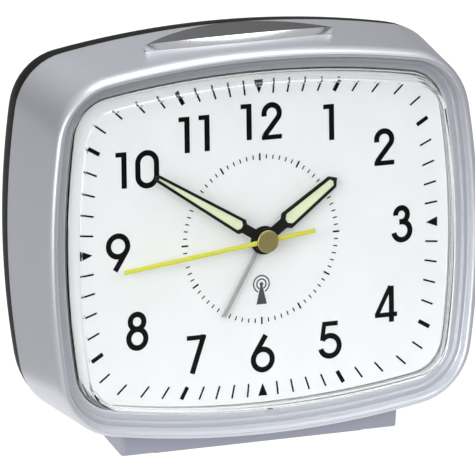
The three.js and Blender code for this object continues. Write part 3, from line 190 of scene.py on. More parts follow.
class Graph:
    """Builds one material's nodes."""

    def __init__(self, name: str) -> None:
        """Starts a material with a Principled shader.

        Args:
            name: The material's name.
        """
        self.material = bpy.data.materials.new(name)
        self.material.use_nodes = True
        self.nodes = self.material.node_tree.nodes
        self.links = self.material.node_tree.links
        self.shader = self.nodes["Principled BSDF"]
        self.output = self.nodes["Material Output"]

    def node(self, kind: str, settings: dict[str, Any] | None = None, inputs: dict[Any, Any] | None = None,
             output: int | str = 0) -> Value:
        """Adds any node.

        Args:
            kind: The node's type.
            settings: Its properties, set first. A colour ramp's stops are a list of (place, colour).
            inputs: Values or links for its sockets, by name or number.
            output: The socket to return.

        Returns:
            That output.
        """
        node = self.nodes.new(kind)
        for name, setting in (settings or {}).items():
            if name == "stops":
                self._set_stops(node, setting)
            else:
                setattr(node, name, setting)
        for name, value in (inputs or {}).items():
            self.feed(node.inputs[name], value)
        return Value(self, node.outputs[output])

    def _set_stops(self, node: Any, stops: Sequence[tuple[float, Sequence[float]]]) -> None:
        """Sets a colour ramp's stops.

        Args:
            node: The colour ramp node.
            stops: Places and colours, in order.
        """
        elements = node.color_ramp.elements
        while len(elements) < len(stops):
            elements.new(1.0)
        for element, (place, colour) in zip(elements, stops):
            element.position = place
            element.color = (*colour, 1.0)

    def feed(self, socket: Any, value: Any) -> None:
        """Links or sets one socket.

        Args:
            socket: The input socket.
            value: A Value, a number or a colour.
        """
        source = value.source if isinstance(value, Value) else value
        if isinstance(source, bpy.types.NodeSocket):
            self.links.new(source, socket)
        elif isinstance(source, (tuple, list)) and len(source) == 3 and socket.type == "RGBA":
            socket.default_value = (*source, 1.0)
        else:
            socket.default_value = source

    def place(self, scale: float = 1.0, centre: Vector | None = None) -> Value:
        """Gives object coordinates, centred and scaled.

        Args:
            scale: How much larger the pattern's numbers are than metres.
            centre: The point that becomes the origin.

        Returns:
            The coordinates.
        """
        spot = self.node("ShaderNodeTexCoord", output="Object")
        shift = tuple(-c for c in (centre or Vector()))
        moved = self.node("ShaderNodeVectorMath", {"operation": "ADD"}, {0: spot, 1: shift})
        return self.node("ShaderNodeVectorMath", {"operation": "SCALE"}, {0: moved, "Scale": scale})

    def noise(self, scale: float, detail: float = 2.0) -> Value:
        """Gives noise on object coordinates.

        Args:
            scale: Cells per metre.
            detail: Octaves.

        Returns:
            Noise from 0 to 1.
        """
        inputs = {"Vector": self.place(scale), "Scale": 1.0, "Detail": detail}
        return self.node("ShaderNodeTexNoise", None, inputs)

    def dot(self, first: Value, second: Sequence[float]) -> Value:
        """Gives the dot product of a vector in the nodes and a plain one.

        Args:
            first: The vector in the nodes.
            second: The plain vector.

        Returns:
            The product.
        """
        vectors = {0: first, 1: tuple(second)}
        return self.node("ShaderNodeVectorMath", {"operation": "DOT_PRODUCT"}, vectors, "Value")

    def mix(self, share: Any, low: Any, high: Any) -> Value:
        """Mixes two colours.

        Args:
            share: How much of the second colour.
            low: The first colour.
            high: The second colour.

        Returns:
            The mixed colour.
        """
        return self.node("ShaderNodeMix", {"data_type": "RGBA"}, {0: share, 6: low, 7: high}, 2)

    def step(self, value: Any, start: float, end: float) -> Value:
        """Rises smoothly from 0 to 1.

        Args:
            value: What is looked at.
            start: Where the result leaves 0.
            end: Where it reaches 1.

        Returns:
            The result.
        """
        limits = {"Value": value, "From Min": start, "From Max": end}
        return self.node("ShaderNodeMapRange", {"interpolation_type": "SMOOTHSTEP"}, limits)

    def tone(self, pattern: Value, colour: Colour, darkest: float) -> None:
        """Sets a base colour that a pattern darkens.

        Args:
            pattern: 0 where the colour is darkest and 1 where it is full.
            colour: The full colour.
            darkest: The share of it that is left where it is darkest.
        """
        self.set(base_color=self.mix(pattern, tuple(c * darkest for c in colour), colour))

    def gloss(self, pattern: Value, roughness: float, spread: float) -> None:
        """Sets a roughness that a pattern varies.

        Args:
            pattern: The pattern, from 0 to 1.
            roughness: The middle value.
            spread: How far apart the least and the greatest value are.
        """
        self.set(roughness=pattern * spread + (roughness - spread / 2))

    def bump(self, height: Value, strength: float, distance: float) -> None:
        """Roughens the surface by a height.

        Args:
            height: The height, from 0 to 1.
            strength: The Bump node's strength.
            distance: The relief in metres.
        """
        relief = {"Height": height, "Strength": strength, "Distance": distance}
        self.feed(self.shader.inputs["Normal"], self.node("ShaderNodeBump", None, relief))

    def set(self, **values: Any) -> None:
        """Sets or links sockets of the shader, named in words joined by underscores."""
        for name, value in values.items():
            self.feed(self.shader.inputs[name.replace("_", " ").title().replace("Ior", "IOR")], value)


class SkyGraph(Graph):
    """Builds the world's nodes."""

    def __init__(self, name: str) -> None:
        """Starts the scene's world.

        Args:
            name: The world's name.
        """
        world = bpy.data.worlds.new(name)
        world.use_nodes = True
        bpy.context.scene.world = world
        self.nodes = world.node_tree.nodes
        self.links = world.node_tree.links
        self.shader = self.nodes["Background"]


# Finishes


@dataclass(frozen=True)
class SatinPaint:
    """Silver paint on plastic: a soft sheen, with a faint cloud in its gloss and a fine orange peel."""

    name: str
    colour: Colour
    metallic: float
    roughness: float
    cloud_scale: float = 90.0
    darkest: float = 0.97
    gloss_scale: float = 900.0
    gloss_spread: float = 0.06
    peel_scale: float = 2600.0
    peel: float = 0.06
    relief: float = 0.00005

    def material(self) -> bpy.types.Material:
        """Returns the material."""
        graph = Graph(self.name)
        graph.tone(graph.noise(self.cloud_scale), self.colour, self.darkest)
        graph.gloss(graph.noise(self.gloss_scale), self.roughness, self.gloss_spread)
        graph.set(metallic=self.metallic)
        graph.bump(graph.noise(self.peel_scale), self.peel, self.relief)
        return graph.material


@dataclass(frozen=True)
class Moulded:
    """Moulded plastic or rubber, or flat paint on it, with a grain."""

    name: str
    colour: Colour
    roughness: float = 0.5
    grain: float = 0.15
    grain_scale: float = 2200.0
    specular: float = 0.5
    cloud_scale: float = 160.0
    darkest: float = 0.94
    gloss_scale: float = 700.0
    gloss_spread: float = 0.08
    relief: float = 0.00006

    def material(self) -> bpy.types.Material:
        """Returns the material."""
        graph = Graph(self.name)
        graph.tone(graph.noise(self.cloud_scale), self.colour, self.darkest)
        graph.gloss(graph.noise(self.gloss_scale), self.roughness, self.gloss_spread)
        graph.set(specular_ior_level=self.specular)
        graph.bump(graph.noise(self.grain_scale), self.grain, self.relief)
        return graph.material


@dataclass(frozen=True)
class ClearPlastic:
    """Clear polished plastic. Its shadow is let through, so what lies under it stays bright."""

    name: str
    tint: Colour = (0.995, 1.0, 0.997)
    shadow_tint: Colour = (0.97, 0.98, 0.975)
    ior: float = 1.49

    def material(self) -> bpy.types.Material:
        """Returns the material."""
        graph = Graph(self.name)
        graph.set(base_color=self.tint, roughness=0.0, ior=self.ior, transmission_weight=1.0)
        shadow = graph.node("ShaderNodeLightPath", output="Is Shadow Ray")
        through = graph.node("ShaderNodeBsdfTransparent", None, {"Color": self.shadow_tint})
        body = Value(graph, graph.shader.outputs[0])
        mixed = graph.node("ShaderNodeMixShader", None, {0: shadow, 1: body, 2: through})
        graph.feed(graph.output.inputs["Surface"], mixed)
        return graph.material


@dataclass(frozen=True)
class Metal:
    """Bare metal with a fine drawn texture."""

    name: str
    colour: Colour
    roughness: float = 0.32
    metallic: float = 0.95
    streak_scale: float = 1500.0
    streak_detail: float = 3.0
    darkest: float = 0.85
    gloss_spread: float = 0.12

    def material(self) -> bpy.types.Material:
        """Returns the material."""
        graph = Graph(self.name)
        streak = graph.noise(self.streak_scale, self.streak_detail)
        graph.tone(streak, self.colour, self.darkest)
        graph.gloss(streak, self.roughness, self.gloss_spread)
        graph.set(metallic=self.metallic)
        return graph.material


@dataclass(frozen=True)
class SpunBrass:
    """Brass turned on a lathe: fine rings about a centre."""

    name: str
    centre: Vector
    colour: Colour = (0.60, 0.50, 0.20)
    rings: float = 50000.0
    metallic: float = 0.9
    roughness: float = 0.3
    darkest: float = 0.88
    gloss_spread: float = 0.08

    def material(self) -> bpy.types.Material:
        """Returns the material."""
        graph = Graph(self.name)
        spot = graph.place(centre=self.centre)
        radius = graph.node("ShaderNodeVectorMath", {"operation": "LENGTH"}, {0: spot}, "Value")
        groove = (radius * self.rings).wave()
        graph.tone(groove, self.colour, self.darkest)
        graph.gloss(groove, self.roughness, self.gloss_spread)
        graph.set(metallic=self.metallic)
        return graph.material


@dataclass(frozen=True)
class WoundWire:
    """Enamelled wire wound in turns side by side along X, with painted shade in the grooves between turns."""

    name: str
    colour: Colour
    turns: float = 9000.0
    metallic: float = 0.6
    roughness: float = 0.38
    darkest: float = 0.35
    depth: float = 0.5
    relief: float = 0.0001

    def material(self) -> bpy.types.Material:
        """Returns the material."""
        graph = Graph(self.name)
        along = graph.node("ShaderNodeSeparateXYZ", None, {0: graph.place()}, "X")
        turn = (along * self.turns).wave()
        # Painted shade: the wire's colour darkens to about a third in the grooves between turns, where the bump
        # sinks.
        graph.tone(turn, self.colour, self.darkest)
        graph.set(metallic=self.metallic, roughness=self.roughness)
        graph.bump(turn, self.depth, self.relief)
        return graph.material


@dataclass(frozen=True)
class BoardMask:
    """Green solder mask over copper tracks."""

    name: str
    mask: Colour = (0.03, 0.13, 0.05)
    track: Colour = (0.06, 0.22, 0.09)
    track_scale: float = 450.0
    track_edge: float = 0.42
    roughness: float = 0.35
    gloss_spread: float = 0.1

    def material(self) -> bpy.types.Material:
        """Returns the material."""
        graph = Graph(self.name)
        cells = {"Vector": graph.place(self.track_scale), "Scale": 1.0}
        distance = graph.node("ShaderNodeTexVoronoi", {"distance": "CHEBYCHEV"}, cells, "Distance")
        tracks = distance.above(self.track_edge)
        graph.set(base_color=graph.mix(tracks, self.mask, self.track))
        graph.gloss(tracks, self.roughness, self.gloss_spread)
        return graph.material


SILVER = SatinPaint("case_silver", (0.60, 0.615, 0.665), 0.55, 0.35)
BAR_SILVER = SatinPaint("bar_silver", (0.86, 0.87, 0.88), 0.92, 0.15)
# The foot's own lilac-silver, darkened by about a third as painted shade for the shade that falls on its front
# under the case.
FOOT_SILVER_WITH_PAINTED_SHADE = SatinPaint("foot_silver", (0.30, 0.31, 0.375), 0.3, 0.38)
ALARM_SILVER = SatinPaint("alarm_hand_silver", (0.50, 0.51, 0.50), 0.5, 0.3)
REAR_BLACK = Moulded("rear_black", (0.012, 0.012, 0.010), 0.5, specular=0.25)
DIAL_WHITE = Moulded("dial_white", (0.88, 0.895, 0.905), 0.6, 0.02)
INK = Moulded("dial_ink", (0.0015, 0.0015, 0.002), 0.6, 0.02, specular=0.0)
GREY_INK = Moulded("dial_grey_ink", (0.05, 0.052, 0.06), 0.55, 0.02)
HAND_BLACK = Moulded("hand_black", (0.003, 0.003, 0.003), 0.3, 0.02, specular=0.25)
LUME = Moulded("luminous_paint", (0.76, 0.84, 0.56), 0.7, 0.25, 5000.0)
SECOND_YELLOW = Moulded("second_hand_yellow", (0.68, 0.68, 0.06), 0.45, 0.03)
LENS_CLEAR = ClearPlastic("lens_clear")
STEEL = Metal("bare_steel", (0.55, 0.56, 0.57))
SOUNDER_BRASS = Metal("sounder_brass", (0.62, 0.50, 0.24))
NATURAL = Moulded("natural_plastic", (0.62, 0.60, 0.53), 0.5)
GEAR_WHITE = Moulded("gear_plastic", (0.78, 0.77, 0.72), 0.42, 0.05)
FERRITE = Moulded("ferrite", (0.03, 0.03, 0.034), 0.7, 0.4)
COPPER = WoundWire("copper_winding", (0.42, 0.14, 0.05))
BOARD = BoardMask("board_green")
RUBBER = Moulded("pad_rubber", (0.02, 0.02, 0.021), 0.85, 0.3)


class Slot(Enum):
    """The record's material slots, each with the finish that its plain CAD nodes take."""

    silver_paint = SILVER
    clear_plastic = LENS_CLEAR
    dial_white = DIAL_WHITE
    moulding = NATURAL
    foot_silver = FOOT_SILVER_WITH_PAINTED_SHADE
    black_plastic = REAR_BLACK
    hand_black = HAND_BLACK
    luminous_paint = LUME
    yellow_paint = SECOND_YELLOW
    brass = SOUNDER_BRASS
    steel = STEEL
    ferrite = FERRITE
    copper_wire = COPPER
    board_green = BOARD
    gear_plastic = GEAR_WHITE
    pad_rubber = RUBBER


_materials: dict[str, bpy.types.Material] = {}


def dress(finish: Any) -> bpy.types.Material:
    """Gives a finish's material, made once.

    Args:
        finish: Any of the finishes.

    Returns:
        The material.
    """
    if finish.name not in _materials:
        _materials[finish.name] = finish.material()
    return _materials[finish.name]


# Making pieces


class Join(Enum):
    """The ways in which two solids are combined."""

    CUT = "DIFFERENCE"
    ADD = "UNION"


class Piece:
    """One finished piece on its way: a bmesh in the dial's or the level axes, in millimetres."""

    def __init__(self, name: str, finish: Any) -> None:
        """Starts an empty piece.

        Args:
            name: The piece's name.
            finish: Its finish.
        """
        self.name = name
        self.finish = finish
        self.mesh = bmesh.new()

    def ring(self, points: Iterable[Sequence[float]]) -> list[bmesh.types.BMEdge]:
        """Adds a closed loop of edges.

        Args:
            points: Its corners in order.

        Returns:
            The edges.
        """
        corners = [self.mesh.verts.new(point) for point in points]
        return [self.mesh.edges.new((a, b)) for a, b in zip(corners, corners[1:] + corners[:1])]

    def skin(self, rings: Sequence[Iterable[Sequence[float]]], closed: bool = False,
             capped: bool = False) -> None:
        """Bridges rings of equal count into one surface.

        Args:
            rings: The rings in order.
            closed: Whether the last ring joins the first.
            capped: Whether both ends get a face.
        """
        loops = [self.ring(points) for points in rings]
        pairs = list(zip(loops, loops[1:])) + ([(loops[-1], loops[0])] if closed else [])
        for first, second in pairs:
            bmesh.ops.bridge_loops(self.mesh, edges=first + second)
        if capped:
            for loop in (loops[0], loops[-1]):
                bmesh.ops.edgeloop_fill(self.mesh, edges=loop)

    def prism(self, points: Iterable[Point], low: float, high: float) -> None:
        """Adds a straight prism.

        Args:
            points: The outline, seen from the front.
            low: Its lower height.
            high: Its upper height.
        """
        base = [self.mesh.verts.new((x, y, low)) for x, y in points]
        face = self.mesh.faces.new(base)
        grown = bmesh.ops.extrude_face_region(self.mesh, geom=[face])["geom"]
        top = [v for v in grown if isinstance(v, bmesh.types.BMVert)]
        bmesh.ops.translate(self.mesh, verts=top, vec=(0, 0, high - low))

    def rod(self, radius: float, low: float, high: float, spot: Point = (0, 0), sides: int = 48) -> None:
        """Adds a cylinder along z.

        Args:
            radius: Its radius.
            low: Its lower height.
            high: Its upper height.
            spot: Its centre.
            sides: Its count of sides.
        """
        place = Matrix.Translation((*spot, (low + high) / 2))
        bmesh.ops.create_cone(self.mesh, cap_ends=True, segments=sides, radius1=radius, radius2=radius,
                              depth=high - low, matrix=place)

    def block(self, low: Sequence[float], high: Sequence[float]) -> None:
        """Adds a box.

        Args:
            low: Its lowest corner.
            high: Its highest corner.
        """
        middle = [(a + b) / 2 for a, b in zip(low, high)]
        size = [b - a for a, b in zip(low, high)]
        place = Matrix.Translation(middle) @ Matrix.Diagonal((*size, 1.0))
        bmesh.ops.create_cube(self.mesh, size=1.0, matrix=place)

    def stroke(self, path: Sequence[Point], width: float, low: float, high: float) -> None:
        """Draws a flat band of even width along a path, as a thin solid.

        Args:
            path: The centre line.
            width: The band's width.
            low: The height of its underside.
            high: The height of its face.
        """
        rails = [((x + side.x, y + side.y, low), (x - side.x, y - side.y, low))
                 for (x, y), side in zip(path, path_sides(path, width / 2))]
        left, right = (self.mesh.verts.new(spot) for spot in rails[0])
        edge = self.mesh.edges.new((left, right))
        faces = []
        for left_spot, right_spot in rails[1:]:
            made = bmesh.ops.extrude_edge_only(self.mesh, edges=[edge])["geom"]
            faces += [g for g in made if isinstance(g, bmesh.types.BMFace)]
            edge = next(g for g in made if isinstance(g, bmesh.types.BMEdge))
            joined = {e.other_vert(left) for e in left.link_edges}
            left, right = edge.verts if edge.verts[0] in joined else reversed(edge.verts)
            left.co, right.co = left_spot, right_spot
        bmesh.ops.remove_doubles(self.mesh, verts=list({v for face in faces for v in face.verts}), dist=1e-4)
        grown = bmesh.ops.extrude_face_region(self.mesh, geom=[f for f in faces if f.is_valid])["geom"]
        top = [g for g in grown if isinstance(g, bmesh.types.BMVert)]
        bmesh.ops.translate(self.mesh, verts=top, vec=(0, 0, high - low))

    def bevel(self, width: float, segments: int = 2, angle: float = 40.0,
              where: Callable[[Vector], bool] | None = None) -> None:
        """Rounds the sharp edges.

        Args:
            width: The bevel's width.
            segments: Its count of facets.
            angle: The least angle between faces, in degrees, that is rounded.
            where: A test on an edge's middle that says whether it is rounded.
        """
        self.mesh.normal_update()
        sharp = [e for e in self.mesh.edges if len(e.link_faces) == 2
                 and e.calc_face_angle(0) > math.radians(angle)
                 and (where is None or where((e.verts[0].co + e.verts[1].co) / 2))]
        bmesh.ops.bevel(self.mesh, geom=sharp, offset=width, segments=segments, profile=0.5, affect="EDGES",
                        material=-1, clamp_overlap=True)

    def move(self, matrix: Matrix) -> None:
        """Moves the piece by a matrix."""
        bmesh.ops.transform(self.mesh, matrix=matrix, verts=self.mesh.verts)

    def turn(self, degrees: float) -> None:
        """Turns the piece clockwise about the dial's axis."""
        self.move(Matrix.Rotation(-math.radians(degrees), 4, "Z"))

    def make(self, matrix: Matrix) -> bpy.types.Object:
        """Places the mesh in the frame as an object.

        Args:
            matrix: From the piece's axes to the frame.

        Returns:
            The object, at the origin.
        """
        bmesh.ops.remove_doubles(self.mesh, verts=self.mesh.verts, dist=1e-5)
        bmesh.ops.recalc_face_normals(self.mesh, faces=self.mesh.faces)
        self.move(matrix)
        for face in self.mesh.faces:
            face.smooth = True
        mark_sharp(self.mesh)
        data = bpy.data.meshes.new(self.name)
        self.mesh.to_mesh(data)
        self.mesh.free()
        data.materials.append(dress(self.finish))
        made = bpy.data.objects.new(self.name, data)
        bpy.context.scene.collection.objects.link(made)
        return made

    def finish_on(self, body: str, replaces: Sequence[str] = (),
                  matrix: Matrix | None = None,
                  steps: Sequence[tuple[Join, "Piece"]] = ()) -> bpy.types.Object:
        """Makes the piece and hangs it on its CAD body.

        Args:
            body: The CAD body that it moves with.
            replaces: The CAD nodes that it stands for.
            matrix: From the piece's axes to the frame; the dial's axes if it isn't given.
            steps: Pieces in the same axes that are cut out of it or joined to it, in order.

        Returns:
            The object.
        """
        matrix = matrix or AXES.dial()
        made = self.make(matrix)
        for way, other in steps:
            combine(made, other.make(matrix), way)
        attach(made, body)
        if replaces:
            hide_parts(*replaces)
        log.info("%s: %d faces", made.name, len(made.data.polygons))
        return made


def mark_sharp(mesh: bmesh.types.BMesh, angle: float = 32.0, many: int = 8) -> None:
    """Marks the edges that break the shading: sharp ones, and those round a flat face of many sides.

    Args:
        mesh: The mesh.
        angle: The least angle in degrees that counts as sharp.
        many: The count of sides over which a face counts as flat.
    """
    for edge in mesh.edges:
        flat = max(len(face.verts) for face in edge.link_faces) > many
        edge.smooth = not flat and edge.calc_face_angle(0) < math.radians(angle)


def combine(body: bpy.types.Object, other: bpy.types.Object, way: Join) -> None:
    """Cuts one object out of another, or joins it to that, and removes it.

    Args:
        body: The object that is changed.
        other: The object that is used up.
        way: Whether it is cut out or joined.
    """
    step = body.modifiers.new("combine", "BOOLEAN")
    step.operation, step.solver, step.object = way.value, "EXACT", other
    carved = bpy.data.meshes.new_from_object(body.evaluated_get(bpy.context.evaluated_depsgraph_get()))
    body.modifiers.clear()
    body.data = carved
    bpy.data.objects.remove(other)
    shaded = bmesh.new()
    shaded.from_mesh(carved)
    mark_sharp(shaded)
    shaded.to_mesh(carved)
    shaded.free()


# Outlines and paths

LEAST_MITRE = 0.4


def clock_ray(degrees: float) -> Vector:
    """Returns the direction from the dial's centre at an angle clockwise from twelve."""
    return Vector((math.sin(math.radians(degrees)), math.cos(math.radians(degrees))))


def arc(centre: Point, radii: Point | float, start: float, end: float, steps: int = 24) -> list[Point]:
    """Gives points along an arc, both ends included.

    Args:
        centre: The arc's centre.
        radii: One radius, or one across and one up.
        start: The first angle in degrees.
        end: The last angle in degrees.
        steps: The count of spans.

    Returns:
        The points.
    """
    across, up = radii if isinstance(radii, tuple) else (radii, radii)
    angles = [math.radians(start + (end - start) * i / steps) for i in range(steps + 1)]
    return [(centre[0] + across * math.cos(a), centre[1] + up * math.sin(a)) for a in angles]


def path_sides(path: Sequence[Point], half: float) -> list[Vector]:
    """Gives, for each point of a path, the step from it to the band's left edge.

    Args:
        path: The centre line.
        half: Half the band's width.

    Returns:
        The steps, mitred at corners.
    """
    spots = [Vector(p) for p in path]
    closed = (spots[0] - spots[-1]).length < 1e-6
    legs = [(b - a).normalized() for a, b in zip(spots, spots[1:])]
    sides = []
    for i in range(len(spots)):
        before = legs[i - 1] if i else (legs[-1] if closed else legs[0])
        after = legs[i] if i < len(legs) else (legs[0] if closed else legs[-1])
        middle = (before + after).normalized()
        reach = half / max(middle.dot(after), LEAST_MITRE)
        sides.append(Vector((-middle.y, middle.x)) * reach)
    return sides


@dataclass(frozen=True)
class RoundedOutline:
    """Four shallow arcs joined by tangent corner arcs."""

    half_width: float
    half_height: float
    corner: float
    top_arc: float = 234.0
    side_arc: float = 180.0

    def inset(self, step: float) -> "RoundedOutline":
        """Returns the outline moved in by a step."""
        return RoundedOutline(self.half_width - step, self.half_height - step, self.corner - step,
                              self.top_arc, self.side_arc)

    def blend(self, other: "RoundedOutline", share: float) -> "RoundedOutline":
        """Returns an outline between this one and another.

        Args:
            other: The other outline.
            share: How far towards it.

        Returns:
            The outline between them.
        """
        return RoundedOutline(
            self.half_width + (other.half_width - self.half_width) * share,
            self.half_height + (other.half_height - self.half_height) * share,
            self.corner + (other.corner - self.corner) * share, self.top_arc, self.side_arc)

    def _corner(self) -> tuple[Point, float, float]:
        """Finds the corner arc that is tangent to the side arc and the top arc.

        Returns:
            Its centre, and the angles in degrees where the side arc and the top arc end.
        """
        top = Vector((0, self.half_height - self.top_arc))
        side = Vector((self.half_width - self.side_arc, 0))
        apart = (top - side).length
        top_reach, side_reach = self.top_arc - self.corner, self.side_arc - self.corner
        along = (side_reach**2 - top_reach**2 + apart**2) / (2 * apart)
        span = (top - side).normalized()
        centre = side + span * along + Vector((-span.y, span.x)) * math.sqrt(side_reach**2 - along**2)
        start = math.degrees(math.atan2(centre.y, centre.x - side.x))
        end = math.degrees(math.atan2(centre.y - top.y, centre.x))
        return (centre.x, centre.y), start, end

    def points(self, fineness: int = 10) -> list[Point]:
        """Gives the outline's points, counter-clockwise from the right.

        Args:
            fineness: Points along each straight-looking stretch; the corners get as many.

        Returns:
            The points.
        """
        centre, start, end = self._corner()
        quarter = [
            *arc((self.half_width - self.side_arc, 0), self.side_arc, 0, start, fineness)[:-1],
            *arc(centre, self.corner, start, end, fineness)[:-1],
            *arc((0, self.half_height - self.top_arc), self.top_arc, end, 90, fineness),
        ]
        upper = quarter + [(-x, y) for x, y in reversed(quarter[1:-1])]
        upper.append((-quarter[0][0], quarter[0][1]))
        return upper + [(-x, -y) for x, y in upper[1:-1]]

    def crossing(self, degrees: float) -> Vector:
        """Finds where a ray from the centre meets the outline.

        Args:
            degrees: The ray's angle, clockwise from twelve.

        Returns:
            The point.
        """
        ray = clock_ray(degrees)
        spots = [Vector(p) for p in self.points(16)]
        for a, b in zip(spots, spots[1:] + spots[:1]):
            side_a, side_b = ray.cross(a), ray.cross(b)
            if side_a * side_b <= 0 and ray.dot(a + b) > 0:
                return a.lerp(b, side_a / (side_a - side_b)) if side_a != side_b else a
        raise ValueError(f"no crossing at {degrees}")


# Case


@dataclass
class FrontCase:
    """The silver front moulding: side wall, rolled bezel, two steps, a groove and a slope down to the lens.

    The corners of its section are (depth, inset): the depth along the case's level axis, and the inset from
    the outer surface. Those of the seam's rounded edge are given as steps forwards from the seam.
    """

    outer: RoundedOutline = RoundedOutline(53.8, 44.3, 15.5)
    seam: RoundedOutline = RoundedOutline(55.5, 44.8, 14.2)
    seam_depth: float = 16.2
    seam_edge: tuple[Point, ...] = ((0.0, 0.35), (0.12, 0.08), (0.35, 0.0), (0.8, 0.0))
    roll_start: float = -1.4
    roll_crest: float = -4.53
    roll_width: float = 2.1
    roll_end: float = 125.0
    roll_spans: int = 16
    steps: tuple[Point, ...] = (
        (-2.7, 2.18), (-2.5, 2.28), (-2.42, 2.42), (-2.32, 2.5), (-2.32, 2.58), (-2.42, 2.66), (-2.4, 3.4),
        (-2.34, 3.47), (-1.5, 3.53), (-1.34, 3.62), (-1.3, 4.95), (-1.24, 5.05), (-1.05, 5.15), (-0.7, 5.4),
        (-0.6, 5.45))
    lip: Point = (-0.35, 2.2)
    wall: float = 2.0
    wall_start: float = 0.5
    bar_gap: float = 0.4
    notch_x: float = 1.5
    notch_radius: float = 1.15
    notch_rise: float = 0.35
    notch_top: float = 3.0

    def outline(self, depth: float, inset: float) -> list[Spot]:
        """Gives a ring of the case.

        Args:
            depth: Its depth along the case's level axis.
            inset: How far in from the outer surface it lies.

        Returns:
            The ring's points in the dial's axes.
        """
        share = max(0.0, (depth - self.roll_start) / (self.seam_depth - self.roll_start))
        shape = self.outer.blend(self.seam, share).inset(inset)
        return [(x, y + AXES.rise(depth), AXES.out(depth)) for x, y in shape.points()]

    def side(self) -> list[Point]:
        """Returns the section of the seam's rounded edge and of the straight side wall."""
        edge = [(self.seam_depth - step, inset) for step, inset in self.seam_edge]
        return edge + [(self.seam_depth / 2, 0.0)]

    def roll(self) -> list[Point]:
        """Gives the section of the rolled bezel: an arc drawn out to the crest's depth and the roll's width.

        Returns:
            The section's corners, from the side wall inwards.
        """
        end = math.radians(self.roll_end)
        angles = [end * i / self.roll_spans for i in range(self.roll_spans + 1)]
        return [(self.roll_start + (self.roll_crest - self.roll_start) * math.sin(angle),
                 self.roll_width * (1 - math.cos(angle)) / (1 - math.cos(end))) for angle in angles]

    def build(self) -> bpy.types.Object:
        """Builds the moulding, with the opening for the bar and the notch where the lens is prised out.

        Returns:
            The object.
        """
        piece = Piece("front_case_shell", SILVER)
        rim = self.steps[-1][1]
        back = [(self.lip[0], rim), self.lip, (self.wall_start, self.wall), (self.seam_depth, self.wall)]
        section = [*self.side(), *self.roll(), *self.steps, *back]
        piece.skin([self.outline(*spot) for spot in section], closed=True)
        bar = SnoozeBar()
        opening = Piece("opening", SILVER)
        opening.prism(bar.plan(self.bar_gap), bar.under, bar.top + 2)
        opening.move(AXES.dial().inverted() @ AXES.level())
        notch = Piece("notch", SILVER)
        notch_y = self.notch_rise - self.outer.half_height + rim
        notch.rod(self.notch_radius, 0.0, self.notch_top, (self.notch_x, notch_y), sides=32)
        steps = [(Join.CUT, opening), (Join.CUT, notch)]
        return piece.finish_on("clock", ["front_case"], steps=steps)


